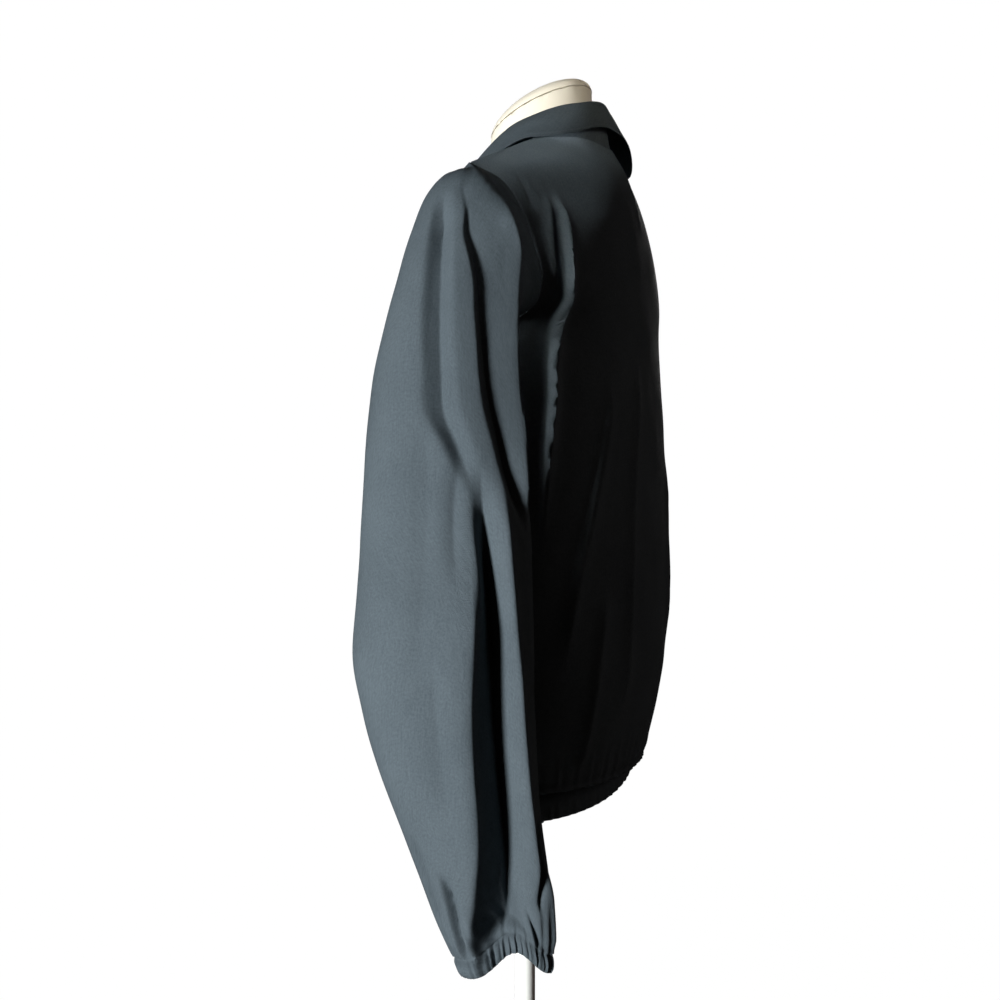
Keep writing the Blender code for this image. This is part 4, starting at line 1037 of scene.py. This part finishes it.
fall_normals = grid_normals(fall_grid, False, collar_out + upward)
cloth_sheet("collar_fall_cloth", fall_grid, fall_normals, False, nylon, "collar_fall")
thread = thread_finish()
sewn_line("collar_stitches", fall_grid[FALL_STITCH_ROW], fall_normals[FALL_STITCH_ROW], thread)

# Front placket and press buttons
# A straight strip of the same nylon sewn down the closed front edge, and round press buttons of dark
# lacquered metal fixed through it. Each has a rolled rim and a shallow dish.

PLACKET_X = np.linspace(-0.006, 0.028, 18)
PLACKET_LIFT = 0.0012
PLACKET_CLOTH = 0.0015
PLACKET_TOP = 1.2469
PLACKET_STITCH_COLUMNS = (1, 16)
SNAP_COUNT = 5
SNAP_SIDES = 48
SNAP_RADIUS = 0.0075
SNAP_HEIGHT = 0.0022
SNAP_WALL_SHARE = 0.7
# Steps of the cap from its rim inward, as shares of the radius and the height
SNAP_STEPS = ((0.16, 0.3), (0.14, 0.0), (0.12, -0.3), (0.25, -0.06))
SNAP_EDGE = 0.00025
SNAP_SMOOTHING = math.radians(40)
LACQUER_TONES = ((0.055, 0.065, 0.072), (0.080, 0.092, 0.100))


def placket_grid(left):
    """Strip laid on the fronts, from a left front that is mirrored over the centre, with its normals."""
    both = np.concatenate([mirrored(left)[:, :0:-1], left[:, 1:]], axis=1)[ROW_KEYS <= PLACKET_TOP]
    rows = []
    for row in both:
        x, y, z = row.T
        rows.append(np.stack([PLACKET_X, np.interp(PLACKET_X, x, y), np.interp(PLACKET_X, x, z)], axis=1))
    base = np.array(rows)
    normals = grid_normals(base, False, np.array([0, -1.0, 0]))
    normals[0] = level(normals[0])
    return base + normals * (PLACKET_CLOTH + PLACKET_LIFT), normals


def lacquer_finish():
    finish = Finish("dark_lacquer", {"Metallic": 0.6})
    place = finish.place("Object")
    finish.colour(finish.grain(place, scale=300), *LACQUER_TONES)
    finish.roughness(least=0.28, spread=0.12, tone=finish.grain(place, scale=500))
    finish.relief(finish.grain(place, scale=1800), distance=0.0001, strength=0.2)
    return finish.material


def press_button(name, node, material):
    """Turned cap at the place and slant of its solid: rolled rim, step and dished middle."""
    points = np.array([vertex.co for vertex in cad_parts[node].data.vertices])
    points = np.unique(points.round(6), axis=0)
    centre = points.mean(axis=0)
    axis = np.linalg.svd(points - centre)[2][2]
    axis = axis if axis[1] < 0 else -axis
    along = (points - centre) @ axis
    foot = centre + axis * along.min()
    bpy.ops.object.select_all(action="DESELECT")
    wall = SNAP_HEIGHT * SNAP_WALL_SHARE
    bpy.ops.mesh.primitive_cylinder_add(vertices=SNAP_SIDES, radius=SNAP_RADIUS, depth=wall)
    piece = bpy.context.object
    piece.name = name
    bpy.ops.object.mode_set(mode="EDIT")
    bpy.ops.mesh.select_all(action="SELECT")
    bpy.ops.transform.translate(value=(0, 0, wall / 2))
    bpy.ops.mesh.select_all(action="DESELECT")
    bpy.ops.object.mode_set(mode="OBJECT")
    for face in piece.data.polygons:
        face.select = face.normal.z > 0.9
    bpy.ops.object.mode_set(mode="EDIT")
    for inward, raised in SNAP_STEPS:
        bpy.ops.mesh.inset(thickness=SNAP_RADIUS * inward, depth=SNAP_HEIGHT * raised)
    bpy.ops.object.mode_set(mode="OBJECT")
    soft_edged(piece, SNAP_EDGE, SNAP_SMOOTHING)
    turn = Vector((0, 0, 1)).rotation_difference(Vector(axis)).to_matrix().to_4x4()
    turn.translation = Vector(foot)
    piece.data.transform(turn)
    set_in_place(piece, node, material)


strip_grid, strip_normals = placket_grid(front_left_grid)
cloth_sheet("placket_strip", strip_grid, strip_normals, False, nylon, "front_placket")
for column in PLACKET_STITCH_COLUMNS:
    sewn_line(f"placket_stitches_{column}", strip_grid[:, column], strip_normals[:, column], thread)
lacquer = lacquer_finish()
for number in range(1, SNAP_COUNT + 1):
    press_button(f"press_button_{number}", f"snap_{number}", lacquer)

# Floor, light and camera
# A pale round floor under a white surround, and soft windows on all sides, the strongest by the left arm.
# Narrow spots light the shoulder, back, neck and pole, three of them one piece alone. The camera is level
# with the waist, behind the left arm.

FLOOR_RADIUS = 1.3
FLOOR_Z = -0.0005
SURROUND_RADIUS = 7.0
SURROUND_Z = 0.7
CAMERA_TURN = math.radians(107)
CAMERA_DISTANCE = 1.30
CAMERA_HEIGHT = 1.0
LENS_LENGTH = 48.6
SENSOR_WIDTH = 36
LENS_SHIFT = -0.025
SoftLight = namedtuple("SoftLight", "name place size power colour")
SOFT_LIGHTS = (
    SoftLight("side_window", (2.34, -1.06, 0.62), 0.6, 106, (0.95, 0.98, 1.0)),
    SoftLight("front_window", (-0.9, -2.7, 1.3), 1.4, 4, (0.97, 0.99, 1.0)),
    SoftLight("back_window", (-1.2, 2.4, 1.8), 1.6, 4.2, (1.0, 0.88, 0.84)),
    SoftLight("far_window", (-2.6, -0.5, 1.8), 1.4, 40.0, (1.0, 0.97, 0.95)),
)
Spot = namedtuple("Spot", "name place aim half_angle power colour only")
SPOTS = (
    Spot("shoulder_spot", (0.60, -0.67, 2.64), (0.13, 0.035, 1.312), 3.5, 290, (0.98, 1.0, 0.98),
         "back_panel"),
    Spot("back_spot", (0.09, -2.10, 1.35), (0.16, 0.08, 1.12), 5.0, 290, (0.93, 0.98, 1.0), "back_panel"),
    Spot("head_spot", (0.99, 1.15, 2.71), (0.185, 0.042, 1.275), 1.6, 95, (0.96, 1.0, 1.0),
         "sleeve_cloth_left"),
    Spot("neck_spot", (1.2, 1.4, 2.2), (0.0, 0.025, 1.42), 2.0, 250, (1.0, 0.92, 0.78), None),
    Spot("pole_spot", (1.5, -1.0, 0.3), (0.0, 0.0, 0.35), 9.0, 75, (1.0, 1.0, 0.98), None),
)
SPOT_SIZE = 0.12
ROOM_COLOUR = (1.0, 0.74, 0.64)
ROOM_STRENGTH = 0.016


def stage_finish(name, colour, glow):
    finish = Finish(name, {"Base Color": (*colour, 1), "Roughness": 0.9, "Emission Color": (1, 1, 1, 1),
                           "Emission Strength": glow})
    return finish.material


bpy.ops.object.select_all(action="DESELECT")
bpy.ops.mesh.primitive_circle_add(vertices=128, radius=FLOOR_RADIUS, fill_type="NGON",
                                  location=(0, 0, FLOOR_Z))
floor = bpy.context.object
floor.name = "studio_floor"
floor.data.materials.append(stage_finish("pale_floor", (0.80, 0.80, 0.79), 0.0))
floor.visible_diffuse = False
floor.visible_glossy = False
bpy.ops.mesh.primitive_uv_sphere_add(segments=48, ring_count=24, radius=SURROUND_RADIUS,
                                     location=(0, 0, SURROUND_Z))
surround = bpy.context.object
surround.name = "white_surround"
surround.data.materials.append(stage_finish("white_paper", (0.0, 0.0, 0.0), 1.0))
surround.visible_diffuse = False
surround.visible_glossy = False
surround.visible_shadow = False
surround.visible_transmission = False


def hung_light(lamp, light, aim):
    """Lamp set in its place and turned to what it lights."""
    lamp.energy = light.power
    lamp.color = light.colour
    hung = set_out(light.name, lamp)
    hung.location = light.place
    hung.rotation_euler = (Vector(aim) - Vector(light.place)).to_track_quat("-Z", "Y").to_euler()
    return hung


for light in SOFT_LIGHTS:
    lamp = bpy.data.lights.new(light.name, "AREA")
    lamp.shape = "DISK"
    lamp.size = light.size
    hung_light(lamp, light, (0, 0, CAMERA_HEIGHT))
for light in SPOTS:
    lamp = bpy.data.lights.new(light.name, "SPOT")
    lamp.spot_size = math.radians(2 * light.half_angle)
    lamp.spot_blend = 1.0
    lamp.shadow_soft_size = SPOT_SIZE
    hung = hung_light(lamp, light, light.aim)
    if light.only:
        lamp.use_shadow = False
        lit = bpy.data.collections.new(light.name)
        lit.objects.link(bpy.data.objects[light.only])
        hung.light_linking.receiver_collection = lit
world = bpy.data.worlds.new("room")
bpy.context.scene.world = world
world.use_nodes = True
air = world.node_tree.nodes["Background"]
air.inputs["Color"].default_value = (*ROOM_COLOUR, 1)
air.inputs["Strength"].default_value = ROOM_STRENGTH

lens = bpy.data.cameras.new("camera")
lens.lens = LENS_LENGTH
lens.sensor_width = SENSOR_WIDTH
lens.shift_x = LENS_SHIFT
camera = set_out("camera", lens)
to_camera = Vector((math.sin(CAMERA_TURN), -math.cos(CAMERA_TURN), 0))
camera.location = to_camera * CAMERA_DISTANCE + Vector((0, 0, CAMERA_HEIGHT))
camera.rotation_euler = (math.pi / 2, 0, CAMERA_TURN)
bpy.context.scene.camera = camera
bpy.context.scene.view_settings.view_transform = "Standard"

bpy.context.view_layer.update()
